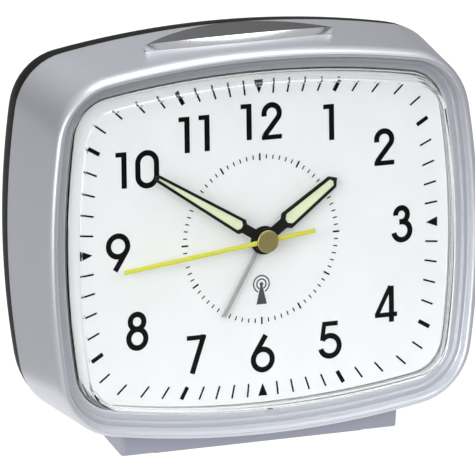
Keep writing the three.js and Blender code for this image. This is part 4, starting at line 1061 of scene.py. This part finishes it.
@dataclass
class RearCover:
    """The black rear cover: it draws in from the seam, ever faster, to a flat back with all its openings."""

    depth: float = 18.4
    draw_in: float = 11.2
    wall: float = 2.0
    seam_gap: float = 0.3
    seam_step: float = 0.15
    ring_count: int = 14
    edge: float = 1.1
    bay_centre: float = -17.0
    bay_half: Point = (27.5, 7.8)
    bay_depth: float = 17.2
    bay_wall: float = 1.0
    door_rim: float = 1.6
    door_depth: float = 1.4
    screw_x: float = 38.5
    screw_levels: Point = (29.0, -20.0)
    shank_hole: float = 1.6
    head_hole: float = 2.9
    head_sunk: float = 1.1
    shank_reach: float = 4.0
    boss_radius: float = 4.2
    boss_height: float = 2.5
    buttons: tuple[Point, ...] = ((6.0, 14.0), (15.0, 14.0), (24.0, 14.0))
    button_hole: float = 2.55
    slider: Point = (15.0, 1.0)
    slider_half: Point = (4.15, 1.75)
    board_post: Point = (12.0, 7.5)
    post_radius: float = 1.6
    post_height: float = 2.9
    knob: Point = (-12.99, 7.5)
    knob_hole: float = 1.55
    slots: Point = (-27.0, 22.0)
    slot_half: Point = (6.0, 0.6)
    slot_pitch: float = 2.6
    root: float = 0.5
    past: float = 1.0
    front: FrontCase = field(default_factory=FrontCase)

    def ring(self, depth: float, inset: float) -> list[Spot]:
        """Gives one ring of the cover.

        Args:
            depth: Its depth behind the seam.
            inset: How far in from the outer surface it lies.

        Returns:
            The ring's points in the dial's axes.
        """
        seam, place = self.front.seam, self.front.seam_depth + depth
        step = inset + self.seam_step + self.draw_in * (depth / self.depth) ** 2
        shape = RoundedOutline(seam.half_width - step, seam.half_height - step, seam.corner - step / 3)
        return [(x, y + AXES.rise(place), AXES.out(place)) for x, y in shape.points()]

    def rings(self, inset: float, start: float) -> list[list[Spot]]:
        """Gives the rings from the seam to the back wall.

        Args:
            inset: How far in from the outer surface they lie.
            start: The depth of the first behind the seam.

        Returns:
            The rings.
        """
        count = self.ring_count
        depths = [start] + [(self.depth - inset) * i / count for i in range(1, count + 1)]
        return [self.ring(depth, inset) for depth in depths]

    def _frame(self, grow: float, low: float, high: float) -> tuple[list[float], list[float]]:
        """Gives the corners of a box round the battery bay.

        Args:
            grow: How far it is grown on each side.
            low: Its lower height.
            high: Its upper height.

        Returns:
            The lowest and the highest corner.
        """
        wide, tall = self.bay_half[0] + grow, self.bay_half[1] + grow
        return [-wide, self.bay_centre - tall, low], [wide, self.bay_centre + tall, high]

    def _screws(self) -> list[Point]:
        """Returns the places of the four case screws."""
        return [(side * self.screw_x, level) for side in (-1, 1) for level in self.screw_levels]

    def _slots(self) -> list[tuple[Point, Point]]:
        """Returns the middle and the half size of each of the five sound slots."""
        x, y = self.slots
        return [((x, y + i * self.slot_pitch), self.slot_half) for i in range(-2, 3)]

    def _inner_walls(self, inside: float, bay_top: float) -> Piece:
        """Makes the bay's walls, the screw bosses and the two posts of the control board.

        Args:
            inside: The height of the back wall's inner face.
            bay_top: The height of the bay's floor.

        Returns:
            The piece to join.
        """
        walls = Piece("inner_walls", REAR_BLACK)
        foot = inside - self.root
        walls.block(*self._frame(self.bay_wall, foot, bay_top + self.bay_wall))
        for spot in self._screws():
            walls.rod(self.boss_radius, foot, inside + self.boss_height, spot, sides=32)
        for side in (-1, 1):
            spot = (self.slider[0] + side * self.board_post[0], self.board_post[1])
            walls.rod(self.post_radius, foot, inside + self.post_height, spot, sides=24)
        return walls

    def _openings(self, back: float, inside: float) -> Piece:
        """Makes the recesses of the door and the screw heads, and the holes of the controls and the sound.

        Args:
            back: The height of the back wall's outer face.
            inside: The height of its inner face.

        Returns:
            The piece to cut out.
        """
        out, through = back - self.past, inside + self.past
        cutter = Piece("openings", REAR_BLACK)
        cutter.block(*self._frame(self.door_rim, out, back + self.door_depth))
        for spot in self._screws():
            cutter.rod(self.head_hole, out, inside + self.head_sunk, spot, sides=32)
        for spot in self.buttons:
            cutter.rod(self.button_hole, out, through, spot, sides=32)
        cutter.rod(self.knob_hole, out, through, self.knob, sides=32)
        for (x, y), (wide, tall) in ((self.slider, self.slider_half), *self._slots()):
            cutter.block((x - wide, y - tall, out), (x + wide, y + tall, through))
        return cutter

    def _bay(self, back: float, inside: float, bay_top: float) -> Piece:
        """Makes the battery bay's hollow and the holes of the screws' shanks.

        Args:
            back: The height of the back wall's outer face.
            inside: The height of its inner face.
            bay_top: The height of the bay's floor.

        Returns:
            The piece to cut out.
        """
        bay = Piece("bay", REAR_BLACK)
        bay.block(*self._frame(0.0, back - self.past, bay_top))
        for spot in self._screws():
            bay.rod(self.shank_hole, back - self.past, inside + self.shank_reach, spot, sides=24)
        return bay

    def build(self) -> bpy.types.Object:
        """Builds the cover.

        Returns:
            The object.
        """
        back = AXES.out(self.front.seam_depth + self.depth)
        inside = AXES.out(self.front.seam_depth + self.depth - self.wall)
        bay_top = back + self.bay_depth
        piece = Piece("rear_cover_shell", REAR_BLACK)
        piece.skin(self.rings(0.0, self.seam_gap), capped=True)
        piece.bevel(self.edge, segments=3, angle=30, where=lambda p: p.z < back + 0.01)
        hollow = Piece("hollow", REAR_BLACK)
        hollow.skin(self.rings(self.wall, self.seam_gap - self.past), capped=True)
        steps = [(Join.CUT, hollow), (Join.ADD, self._inner_walls(inside, bay_top)),
                 (Join.CUT, self._openings(back, inside)), (Join.CUT, self._bay(back, inside, bay_top))]
        return piece.finish_on("clock", ["rear_cover"], steps=steps)


@dataclass
class Lens:
    """The clear tray over the dial, with slanted sides. Its wall's section is given as (height, inset)."""

    outline: RoundedOutline = RoundedOutline(48.05, 38.55, 9.75)
    front: float = 5.4
    wall: float = 1.0
    foot: float = 0.95
    slant: float = 1.7

    def ring(self, height: float, inset: float) -> list[Spot]:
        """Gives a ring of the lens.

        Args:
            height: Its height out of the dial.
            inset: How far in from the lens's side.

        Returns:
            The ring's points.
        """
        rise = -height * math.tan(AXES.lean)
        return [(x, y + rise, height) for x, y in self.outline.inset(inset).points()]

    def build(self) -> bpy.types.Object:
        """Builds the tray, from the middle of its inner face over the foot to the middle of its front.

        Returns:
            The object.
        """
        piece = Piece("lens_crystal", LENS_CLEAR)
        front, foot, wall, slant = self.front, self.foot, self.wall, self.slant
        inner = [(front - wall, slant + 0.3), (front - wall - 0.15, slant + 0.05),
                 (front - wall - 0.5, slant - 0.1), (foot, wall + 0.05), (0.35, wall)]
        outer = [(0.3, 0.0), (foot, 0.0), (foot + 0.15, 0.03), (front - 0.9, 0.85), (front - 0.5, 1.0),
                 (front - 0.15, 1.3), (front, slant)]
        piece.skin([self.ring(*spot) for spot in inner + outer], capped=True)
        return piece.finish_on("clock", ["lens"])


# Dial


class Numeral(Enum):
    """The figures as stroke centre lines in millimetres about the figure's own centre, with butt ends."""

    ZERO = "0"
    ONE = "1"
    TWO = "2"
    THREE = "3"
    FOUR = "4"
    FIVE = "5"
    SIX = "6"
    SEVEN = "7"
    EIGHT = "8"
    NINE = "9"

    def strokes(self, stem: float, bar: float) -> list[tuple[list[Point], float]]:
        """Gives the figure's strokes.

        Args:
            stem: The width of stems and curves.
            bar: The width of level bars.

        Returns:
            Paths, each with its width.
        """
        six = [(0.82, 4.29), *arc((0, -1.32), 2.36, 147, 507, 48)]
        match self:
            case Numeral.ZERO:
                loop = arc((0, 1.45), 2.3, 0, 180) + arc((0, -1.45), 2.3, 180, 360)
                return [(loop + loop[:1], stem)]
            case Numeral.ONE:
                return [([(0.7, 4.15), (0.7, -4.15)], stem), ([(-1.35, 3.62), (0.2, 3.62)], bar)]
            case Numeral.TWO:
                curve = [(-1.9, 1.15), *arc((0, 1.75), (1.9, 1.9), 180, -32, 30), (-1.88, -3.35)]
                return [(curve, stem), ([(-2.5, -3.72), (2.5, -3.72)], bar)]
            case Numeral.THREE:
                top = [*arc((-0.05, 2.1), (1.5, 1.6), 183, -90, 30), (-0.6, 0.5)]
                low = [(-0.63, 0.5), *arc((0, -1.6), (2.05, 2.1), 90, -170, 36)]
                return [(top, stem), (low, stem)]
            case Numeral.FOUR:
                return [([(1.42, 4.2), (1.42, -4.2)], stem), ([(-2.75, -2.44), (2.85, -2.44)], bar),
                        ([(1.2, 4.2), (-2.4, -2.5)], bar)]
            case Numeral.FIVE:
                stem_line = [(-1.33, 3.9), (-1.93, -0.05)]
                bowl = arc((0, -1.4), 2.36, 143, -166, 40)
                return [(stem_line, bar), ([(-1.85, 3.77), (2.07, 3.77)], bar), (bowl, stem)]
            case Numeral.SIX:
                return [(six, stem)]
            case Numeral.SEVEN:
                return [([(-2.4, 3.86), (2.3, 3.86)], bar), ([(1.86, 4.35), (-1.2, -4.39)], stem)]
            case Numeral.EIGHT:
                return [(arc((0, 2.18), (1.67, 1.7), 0, 360, 40), stem),
                        (arc((0, -1.71), (2.1, 2.15), 0, 360, 48), stem)]
            case Numeral.NINE:
                return [([(-x, -y) for x, y in six], stem)]


@dataclass
class Dial:
    """The white dial with its printed figures, minute marks and alarm ring."""

    plate: RoundedOutline = RoundedOutline(47.95, 38.45, 9.65)
    thickness: float = 0.9
    bore: float = 2.55
    ink_under: float = 0.005
    ink_top: float = 0.04
    ink_step: float = 0.002
    stem: float = 1.28
    bar: float = 1.08
    minute_ring: RoundedOutline = RoundedOutline(43.05, 34.86, 8.4, 187.0, 131.0)
    minute_length: float = 3.15
    minute_width: float = 0.42
    five_width: float = 0.95
    arrow_length: float = 2.9
    arrow_half: float = 1.15
    alarm_ring: float = 18.9
    alarm_hour: Point = (1.65, 0.4)
    alarm_step: Point = (1.0, 0.27)
    mast: tuple[Point, ...] = ((-1.3, -15.1), (1.3, -15.1), (0.24, -10.7), (-0.24, -10.7))
    mast_tip: Point = (0.0, -10.45)
    mast_ball: float = 0.44
    waves: Point = (1.15, 1.95)
    wave_width: float = 0.31
    figures: tuple[tuple[str, float, float], ...] = (
        ("1", -3.26, 27.11), ("2", 3.09, 26.9), ("1", 17.34, 25.34), ("2", 31.25, 18.47), ("3", 35.5, 0.22),
        ("4", 31.25, -18.15), ("5", 16.99, -25.04), ("6", 0.11, -26.64), ("7", -16.34, -25.14),
        ("8", -30.97, -18.39), ("9", -35.34, 0.17), ("1", -34.28, 18.71), ("0", -27.89, 18.49),
        ("1", -18.65, 25.45), ("1", -13.71, 25.48))

    def build(self) -> None:
        """Builds the plate and all its print."""
        plate = Piece("dial_plate", DIAL_WHITE)
        plate.prism(self.plate.points(), -self.thickness, 0.0)
        hole = Piece("hole", DIAL_WHITE)
        hole.rod(self.bore, -self.thickness - 1, 1.0)
        plate.finish_on("clock", ["dial"], steps=[(Join.CUT, hole)])
        self._figures()
        self._minute_marks()
        self._alarm_marks()
        self._radio_sign()

    def _figures(self) -> None:
        """Prints the hour figures, each stroke a little prouder than the one before it."""
        piece = Piece("dial_figures", INK)
        for text, x, y in self.figures:
            for i, (path, width) in enumerate(Numeral(text).strokes(self.stem, self.bar)):
                top = self.ink_top + self.ink_step * i
                piece.stroke([(x + px, y + py) for px, py in path], width, self.ink_under, top)
        piece.finish_on("clock")

    def _mark(self, piece: Piece, degrees: float, middle: Vector, size: Point) -> None:
        """Prints one mark that points at the centre.

        Args:
            piece: The print that it is added to.
            degrees: Its angle, clockwise from twelve.
            middle: Its middle.
            size: Its length and width.
        """
        length, width = size
        reach = clock_ray(degrees) * length / 2
        path = [(p.x, p.y) for p in (middle - reach, middle + reach)]
        piece.stroke(path, width, self.ink_under, self.ink_top)

    def _arrow(self, piece: Piece, spot: Vector) -> None:
        """Prints one arrowhead that points at the centre.

        Args:
            piece: The print that it is added to.
            spot: Its middle.
        """
        inward = -spot.normalized()
        side = Vector((-inward.y, inward.x)) * self.arrow_half
        base = spot - inward * self.arrow_length / 2
        corners = [base + side, base - side, spot + inward * self.arrow_length / 2]
        piece.prism([(c.x, c.y) for c in corners], self.ink_under, self.ink_top)

    def _minute_marks(self) -> None:
        """Prints the marks round the edge: a thick one each five minutes and an arrowhead each quarter."""
        piece = Piece("dial_minute_marks", INK)
        for minute in range(60):
            spot = self.minute_ring.crossing(minute * 6.0)
            if minute % 15 == 0:
                self._arrow(piece, spot)
            else:
                width = self.five_width if minute % 5 == 0 else self.minute_width
                self._mark(piece, minute * 6.0, spot, (self.minute_length, width))
        piece.finish_on("clock")

    def _alarm_marks(self) -> None:
        """Prints the inner ring of marks, one each ten minutes of the alarm."""
        hours = Piece("dial_alarm_hours", INK)
        steps = Piece("dial_alarm_steps", INK)
        for i in range(72):
            piece, size = (steps, self.alarm_step) if i % 6 else (hours, self.alarm_hour)
            self._mark(piece, i * 5.0, clock_ray(i * 5.0) * self.alarm_ring, size)
        hours.finish_on("clock")
        steps.finish_on("clock")

    def _radio_sign(self) -> None:
        """Prints a plain transmitter sign: a mast with waves round its tip."""
        piece = Piece("dial_radio_sign", GREY_INK)
        piece.prism(self.mast, self.ink_under, self.ink_top)
        piece.rod(self.mast_ball, self.ink_under, self.ink_top + self.ink_step, self.mast_tip, sides=20)
        for radius in self.waves:
            wave = arc(self.mast_tip, radius, -64, 244, 44)
            piece.stroke(wave, self.wave_width, self.ink_under, self.ink_top)
        piece.finish_on("clock")


# Hands

HUB_PROUD = 0.02


@dataclass
class Hand:
    """A black hand with a luminous insert: a neck, a shoulder, a tapering blade and a blunt point."""

    name: str
    body: str
    angle: float
    length: float
    neck: float
    neck_half: float
    half: float
    tip_half: float
    height: float
    thickness: float = 0.4
    rim: float = 0.62
    hub: float = 3.3
    bore: float = 1.81
    edge: float = 0.06
    hub_edge: float = 0.08
    insert_lap: float = 0.02
    insert_lift: float = 0.06
    insert_sunk: float = 0.1

    @property
    def top(self) -> float:
        """Returns the height of the hand's face."""
        return self.height + self.thickness

    def outline(self, inset: float) -> list[Point]:
        """Gives the blade's outline, drawn pointing to twelve.

        Args:
            inset: How far in from the edge.

        Returns:
            The points, counter-clockwise.
        """
        shoulder = self.neck + self.half - self.neck_half
        slope = self.tip_half * 0.9
        right = [(self.neck_half - inset, self.neck + inset), (self.half - inset, shoulder + inset),
                 (self.tip_half - inset * 0.9, self.length - slope - inset * 0.3)]
        left = [(-x, y) for x, y in reversed(right)]
        return [*right, (0.0, self.length - inset * 1.5), *left]

    def _bore(self) -> tuple[Join, Piece]:
        """Returns the step that cuts the hole for the hand's tube."""
        bore = Piece("bore", HAND_BLACK)
        bore.rod(self.bore, self.height - 1, self.top + 1)
        return Join.CUT, bore

    def build(self) -> None:
        """Builds the frame, the hub and the insert."""
        self._blade()
        self._hub()
        self._insert()

    def _blade(self) -> None:
        """Builds the frame with its window."""
        blade = Piece(f"{self.name}_frame", HAND_BLACK)
        root = [(-self.neck_half, 0.0), (self.neck_half, 0.0)]
        blade.prism(root + self.outline(0.0), self.height, self.top)
        blade.turn(self.angle)
        blade.bevel(self.edge)
        window = Piece("window", HAND_BLACK)
        window.prism(self.outline(self.rim), self.height - 1, self.top + 1)
        window.turn(self.angle)
        blade.finish_on(self.body, [self.name], steps=[(Join.CUT, window), self._bore()])

    def _hub(self) -> None:
        """Builds the disc round the tube."""
        disc = Piece(f"{self.name}_hub", HAND_BLACK)
        disc.rod(self.hub, self.height - HUB_PROUD, self.top + HUB_PROUD)
        disc.bevel(self.hub_edge)
        disc.finish_on(self.body, steps=[self._bore()])

    def _insert(self) -> None:
        """Builds the luminous insert, which laps under the frame by a little."""
        insert = Piece(f"{self.name}_insert", LUME)
        outline = self.outline(self.rim - self.insert_lap)
        insert.prism(outline, self.height + self.insert_lift, self.top - self.insert_sunk)
        insert.turn(self.angle)
        insert.finish_on(self.body, [f"{self.name}_lume"])


HOUR_HAND = Hand("hour_hand", "hour_hand_tube", 55.2, 22.4, 6.0, 1.3, 2.2, 1.6, 1.65, rim=0.82)
MINUTE_HAND = Hand("minute_hand", "minute_hand_tube", 302.2, 32.0, 6.2, 1.15, 1.85, 0.85, 2.4, rim=0.72,
                   hub=2.75, bore=1.16)


@dataclass
class Hands:
    """All four hands and the brass cap."""

    thickness: float = 0.4
    edge: float = 0.05
    hub_edge: float = 0.08
    alarm_angle: float = 210.5
    alarm_half: float = 0.5
    alarm_span: Point = (2.0, 19.6)
    alarm_height: float = 0.9
    alarm_hub: float = 3.05
    alarm_bore: float = 2.46
    second_angle: float = 263.5
    second_half: float = 0.52
    second_span: Point = (-12.2, 35.6)
    second_height: float = 3.1
    cap_radius: float = 2.6
    cap_gap: float = 0.06
    cap_thickness: float = 0.65
    cap_edge: float = 0.2

    def build(self) -> None:
        """Builds the hands from the dial outwards."""
        self._alarm()
        HOUR_HAND.build()
        MINUTE_HAND.build()
        self._second()

    def _blade(self, piece: Piece, half: float, span: Point, low: float, angle: float) -> None:
        """Makes a plain straight blade.

        Args:
            piece: The piece that it is made in.
            half: Half its width.
            span: Where it starts and ends along the hand.
            low: The height of its underside.
            angle: Where it points, in degrees clockwise from twelve.
        """
        start, end = span
        corners = [(-half, start), (half, start), (half, end), (-half, end)]
        piece.prism(corners, low, low + self.thickness)
        piece.bevel(self.edge)
        piece.turn(angle)

    def _alarm(self) -> None:
        """Builds the thin alarm hand."""
        blade = Piece("alarm_hand_blade", ALARM_SILVER)
        self._blade(blade, self.alarm_half, self.alarm_span, self.alarm_height, self.alarm_angle)
        blade.finish_on("alarm_hand_tube", ["alarm_hand"])
        disc = Piece("alarm_hand_hub", ALARM_SILVER)
        low, high = self.alarm_height - HUB_PROUD, self.alarm_height + self.thickness + HUB_PROUD
        disc.rod(self.alarm_hub, low, high)
        disc.bevel(self.hub_edge)
        hole = Piece("bore", ALARM_SILVER)
        hole.rod(self.alarm_bore, low - 1, high + 1)
        disc.finish_on("alarm_hand_tube", steps=[(Join.CUT, hole)])

    def _second(self) -> None:
        """Builds the yellow second hand and its cap."""
        blade = Piece("second_hand_blade", SECOND_YELLOW)
        self._blade(blade, self.second_half, self.second_span, self.second_height, self.second_angle)
        blade.finish_on("second_hand_arbor", ["second_hand"])
        face = self.second_height + self.thickness
        cap = Piece("second_hand_cap_disc", SpunBrass("cap_brass", AXES.dial() @ Vector((0, 0, face))))
        under = face + self.cap_gap
        cap.rod(self.cap_radius, under, under + self.cap_thickness, sides=64)
        cap.bevel(self.cap_edge, segments=3)
        cap.finish_on("second_hand_arbor", ["second_hand_cap"])


# Bar on top, and foot


@dataclass
class SnoozeBar:
    """The press bar on the top: an eye-shaped key with an arched top and a bright slope along its front.

    Its sizes are in the level axes.
    """

    centre: float = -1.8
    half_length: float = 23.2
    front: float = 10.5
    tip: float = 13.3
    back: float = 19.9
    top: float = 45.4
    arch: float = 234.0
    slope_width: float = 0.8
    slope_drop: float = 1.6
    slope_edge: Point = (0.03, 0.15)
    overrun: float = 0.2
    under: float = 38.9
    visible_under: float = 40.3

    def side(self, level: float, grow: float = 0.0) -> list[Point]:
        """Gives one long side: an arc from tip to tip.

        Args:
            level: Where its middle lies.
            grow: How far it is grown.

        Returns:
            The points, counter-clockwise.
        """
        towards = 1 if level > self.tip else -1
        half, bulge = self.half_length + grow * 1.5, abs(level - self.tip) + grow
        radius = (half**2 + bulge**2) / (2 * bulge)
        sweep = math.degrees(math.asin(half / radius))
        centre = (self.centre, self.tip + towards * (bulge - radius))
        return arc(centre, radius, towards * 90 - sweep, towards * 90 + sweep, 40)

    def plan(self, grow: float) -> list[Point]:
        """Returns the outline from above, grown by a step."""
        return self.side(self.back, grow)[:-1] + self.side(self.front, grow)[:-1]

    def crown(self, x: float) -> float:
        """Returns the height of the arched top."""
        return self.top - x**2 / (2 * self.arch)

    def ring(self, drawn_in: float, height: Callable[[float], float]) -> list[Spot]:
        """Gives a ring of the bar.

        Args:
            drawn_in: How far its front is drawn in, in the middle.
            height: The ring's height at each x.

        Returns:
            The ring's points.
        """
        front = [(x, y + drawn_in * math.sqrt(max(0.0, 1 - ((x - self.centre) / self.half_length) ** 2)))
                 for x, y in self.side(self.front)[:-1]]
        return [(x, y, height(x)) for x, y in self.side(self.back)[:-1] + front]

    def _above(self) -> Piece:
        """Makes all that lies over the arched top.

        Returns:
            The piece to cut off.
        """
        above = Piece("above", BAR_SILVER)
        spots = [self.centre + (self.half_length + 2) * (i / 24 - 1) for i in range(49)]
        edge = [(x, self.crown(x)) for x in spots] + [(spots[-1], self.top + 2), (spots[0], self.top + 2)]
        above.prism(edge, -self.back - 1, 1 - self.front)
        above.move(Matrix.Rotation(math.pi / 2, 4, "X"))
        return above

    def build(self) -> None:
        """Builds the bar with its slope, which runs on past the arched top and is cut off there."""
        piece = Piece("snooze_bar_key", BAR_SILVER)
        past = self.slope_width * (self.slope_drop + self.overrun) / self.slope_drop
        edge_in, edge_drop = self.slope_edge
        piece.skin([
            self.ring(0.0, lambda x: self.visible_under),
            self.ring(0.0, lambda x: self.crown(x) - self.slope_drop - edge_drop),
            self.ring(edge_in, lambda x: self.crown(x) - self.slope_drop),
            self.ring(past, lambda x: self.crown(x) + self.overrun),
            self.ring(past, lambda x: self.top + 1.0),
        ], capped=True)
        steps = [(Join.CUT, self._above())]
        piece.finish_on("snooze", ["snooze_bar"], AXES.level(), steps)


@dataclass
class Foot:
    """The plinth under the case, in the level axes."""

    half_length: float = 34.6
    front: float = -6.5
    length: float = 32.0
    taper_deg: float = 5.5
    rise: float = 9.0
    upright_round: float = 0.9
    lower_round: float = 0.25
    case_gap: float = 0.3
    pad_proud: float = 0.4
    pad_gap: float = 0.05
    screw_spot: Point = (20.0, 4.5)
    head_hole: float = 2.9
    head_depth: float = 1.8

    def build(self) -> None:
        """Builds the plinth from the CAD node's place."""
        low, _ = box_mm("foot_pad_front")
        base = low.z + self.pad_proud
        rear = self.front + self.length
        rear_half = self.half_length - self.length * math.tan(math.radians(self.taper_deg))
        plan = [(-self.half_length, self.front), (self.half_length, self.front), (rear_half, rear),
                (-rear_half, rear)]
        piece = Piece("foot_plinth", FOOT_SILVER_WITH_PAINTED_SHADE)
        piece.prism(plan, base, base + self.rise)
        piece.bevel(self.upright_round, segments=4, where=lambda p: abs(p.z - base - self.rise / 2) < 0.1)
        piece.bevel(self.lower_round, where=lambda p: abs(p.z - base) < 0.01)
        cutters = [self._case(), self._pockets(base)]
        piece.finish_on("clock", ["foot"], AXES.level(), [(Join.CUT, c) for c in cutters])

    def _case(self) -> Piece:
        """Makes the outside of the case, grown by a little, from the back wall to short of the roll's crest.

        Returns:
            The piece that the plinth is cut to.
        """
        front, rear = FrontCase(), RearCover()
        crest = int(front.roll_spans * 90 / front.roll_end)
        section = front.side()[-2:] + front.roll()[:crest]
        outer = [front.outline(depth, inset - self.case_gap) for depth, inset in section]
        piece = Piece("case", FOOT_SILVER_WITH_PAINTED_SHADE)
        piece.skin(rear.rings(-self.case_gap, 0.0)[::-1] + outer, capped=True)
        piece.move(AXES.level().inverted() @ AXES.dial())
        return piece

    def _pockets(self, base: float) -> Piece:
        """Makes the pockets of the two rubber strips and the holes of the two screws' heads.

        Args:
            base: The height of the plinth's underside.

        Returns:
            The piece to cut out.
        """
        piece = Piece("pockets", FOOT_SILVER_WITH_PAINTED_SHADE)
        gap, (x, y) = self.pad_gap, self.screw_spot
        for name in ("foot_pad_front", "foot_pad_rear"):
            low, high = box_mm(name)
            piece.block((low.x - gap, low.y - gap, base - 1), (high.x + gap, high.y + gap, high.z + gap))
        for side in (-1, 1):
            piece.rod(self.head_hole, base - 1, base + self.head_depth, (side * x, y), sides=32)
        return piece


# The nodes that stay as CAD made them


@dataclass
class PlainNodes:
    """The CAD nodes that no piece replaces: they get the finish of their slot."""

    def build(self) -> None:
        """Dresses every node that is still shown."""
        slots = {part["node"]: part["material_slot"] for part in frame["record"]["subparts"]}
        for name, node in frame["nodes"].items():
            if node.hide_render:
                continue
            node.data.materials.clear()
            node.data.materials.append(dress(Slot[slots[name]].value))
            log.info("%s keeps its CAD shape", name)


# Floor, light and camera


@dataclass(frozen=True)
class SoftBox:
    """A rectangle of soft light that faces the clock, placed in metres from the dial's centre."""

    name: str
    spot: Spot
    size: Point
    watts: float

    def hang(self) -> None:
        """Adds the light to the scene."""
        light = bpy.data.lights.new(self.name, "AREA")
        light.shape, light.energy = "RECTANGLE", self.watts
        light.size, light.size_y = self.size
        made = bpy.data.objects.new(self.name, light)
        made.location = AXES.centre + Vector(self.spot)
        made.rotation_euler = (-Vector(self.spot)).to_track_quat("-Z", "Y").to_euler()
        bpy.context.scene.collection.objects.link(made)


@dataclass
class Studio:
    """A pale floor, soft light and the camera of the photograph.

    The camera's sizes are in millimetres and the floor's in metres. A span says where a smooth step starts
    and ends, on the floor as a distance, and in the sky as the cosine of the angle from the middle of a part.
    """

    camera_spot: Spot = (-727.456, -1504.551, 591.838)
    camera_right: Spot = (0.908612, -0.413861, 0.056059)
    camera_up: Spot = (0.090532, 0.326214, 0.940951)
    lens: float = 592.61
    lights: tuple[SoftBox, ...] = (
        SoftBox("key", (-1.45, -0.95, 0.75), (0.7, 0.7), 8.2),
        SoftBox("side", (-1.5, -0.7, 0.08), (1.4, 0.45), 10.0),
        SoftBox("overhead", (0.2, 0.1, 1.3), (1.0, 1.0), 12.0),
        SoftBox("front_strip", (0.25, -1.35, 0.85), (2.6, 0.4), 5.6),
    )
    floor_size: float = 4.0
    view_across: Spot = (0.9155, -0.4023, 0.0)
    view_ahead: Spot = (0.4023, 0.9155, 0.0)
    strip_middle: float = 0.0085
    strip_span: Point = (0.077, 0.066)
    strip_front_span: Point = (-0.06, -0.049)
    strip_glow: float = 1.05
    dark_span: Point = (-0.18, -0.1)
    dark_level: float = 0.04
    pale_rise: float = 0.36
    sky_stops: tuple[Point, ...] = ((0.0, 0.06), (0.35, 0.06), (0.6, 0.32), (0.85, 0.5))
    sky_tint: Colour = (1.0, 1.0, 1.02)
    front_light: float = 0.4
    front_span: Point = (-0.1, 0.7)
    upper_span: Point = (-0.25, 0.05)
    flag_span: Point = (0.9877, 0.9962)

    def build(self) -> None:
        """Builds the floor, the lights, the sky and the camera."""
        self._floor()
        for light in self.lights:
            light.hang()
        self._sky()
        self._camera()
        bpy.context.scene.view_settings.view_transform = "Standard"

    def _floor(self) -> None:
        """Lays a pale floor: white in the strip that the photograph sees, and dark further in front.

        The dark part is what the flat lens mirrors.
        """
        plane = bmesh.new()
        bmesh.ops.create_grid(plane, x_segments=1, y_segments=1, size=self.floor_size)
        data = bpy.data.meshes.new("floor")
        plane.to_mesh(data)
        plane.free()
        graph = Graph("floor_white")
        spot = graph.place()
        across, ahead = (graph.dot(spot, way) for way in (self.view_across, self.view_ahead))
        strip = graph.step((across - self.strip_middle).size(), *self.strip_span)
        white = strip * graph.step(ahead, *self.strip_front_span)
        pale = graph.step(ahead, *self.dark_span) * self.pale_rise + self.dark_level
        graph.set(base_color=graph.mix(white, pale, (0.05, 0.05, 0.05)), roughness=0.9)
        glow = graph.mix(white, (0.0, 0.0, 0.0), (1.0, 1.0, 1.0))
        graph.set(emission_color=glow, emission_strength=self.strip_glow)
        data.materials.append(graph.material)
        made = bpy.data.objects.new("floor", data)
        bpy.context.scene.collection.objects.link(made)

    def _sky(self) -> None:
        """Sets a sky that is bright overhead and in front.

        A dark flag hangs where the flat lens mirrors the sky.
        """
        graph = SkyGraph("studio")
        ray = graph.node("ShaderNodeTexCoord", output="Generated")
        seen = Vector(self.camera_spot).normalized()
        out = (AXES.dial().to_3x3() @ Vector((0, 0, 1))).normalized()
        stops = [(place, (level, level, level)) for place, level in self.sky_stops]
        height = graph.node("ShaderNodeSeparateXYZ", None, {0: ray}, "Z")
        sky = graph.node("ShaderNodeValToRGB", {"stops": stops}, {0: height})
        front, upper, flag = (graph.step(graph.dot(ray, way), *span) for way, span in (
            ((0, -1, 0), self.front_span), ((0, 0, 1), self.upper_span),
            (out * 2 * out.dot(seen) - seen, self.flag_span)))
        graph.set(color=self.sky_tint, strength=sky + front * upper * (1.0 - flag) * self.front_light)

    def _camera(self) -> None:
        """Sets the camera where the photograph was taken from."""
        data = bpy.data.cameras.new("photograph")
        data.sensor_width, data.lens = 36.0, self.lens
        data.clip_start, data.clip_end = 0.1, 30.0
        right, up = Vector(self.camera_right), Vector(self.camera_up)
        axes = Matrix((right, up, right.cross(up))).transposed().to_4x4()
        made = bpy.data.objects.new("photograph", data)
        made.matrix_world = Matrix.Translation(AXES.centre + Vector(self.camera_spot) * MM) @ axes
        bpy.context.scene.collection.objects.link(made)
        bpy.context.scene.camera = made


def main() -> None:
    """Builds the clock from the case inwards, then the studio."""
    logging.basicConfig(level=logging.INFO, format="%(name)s: %(message)s")
    parts = (FrontCase(), RearCover(), Lens(), Dial(), Hands(), SnoozeBar(), Foot(), PlainNodes(), Studio())
    for part in parts:
        log.info("%s", type(part).__name__)
        part.build()


if __name__ == "__main__":
    main()
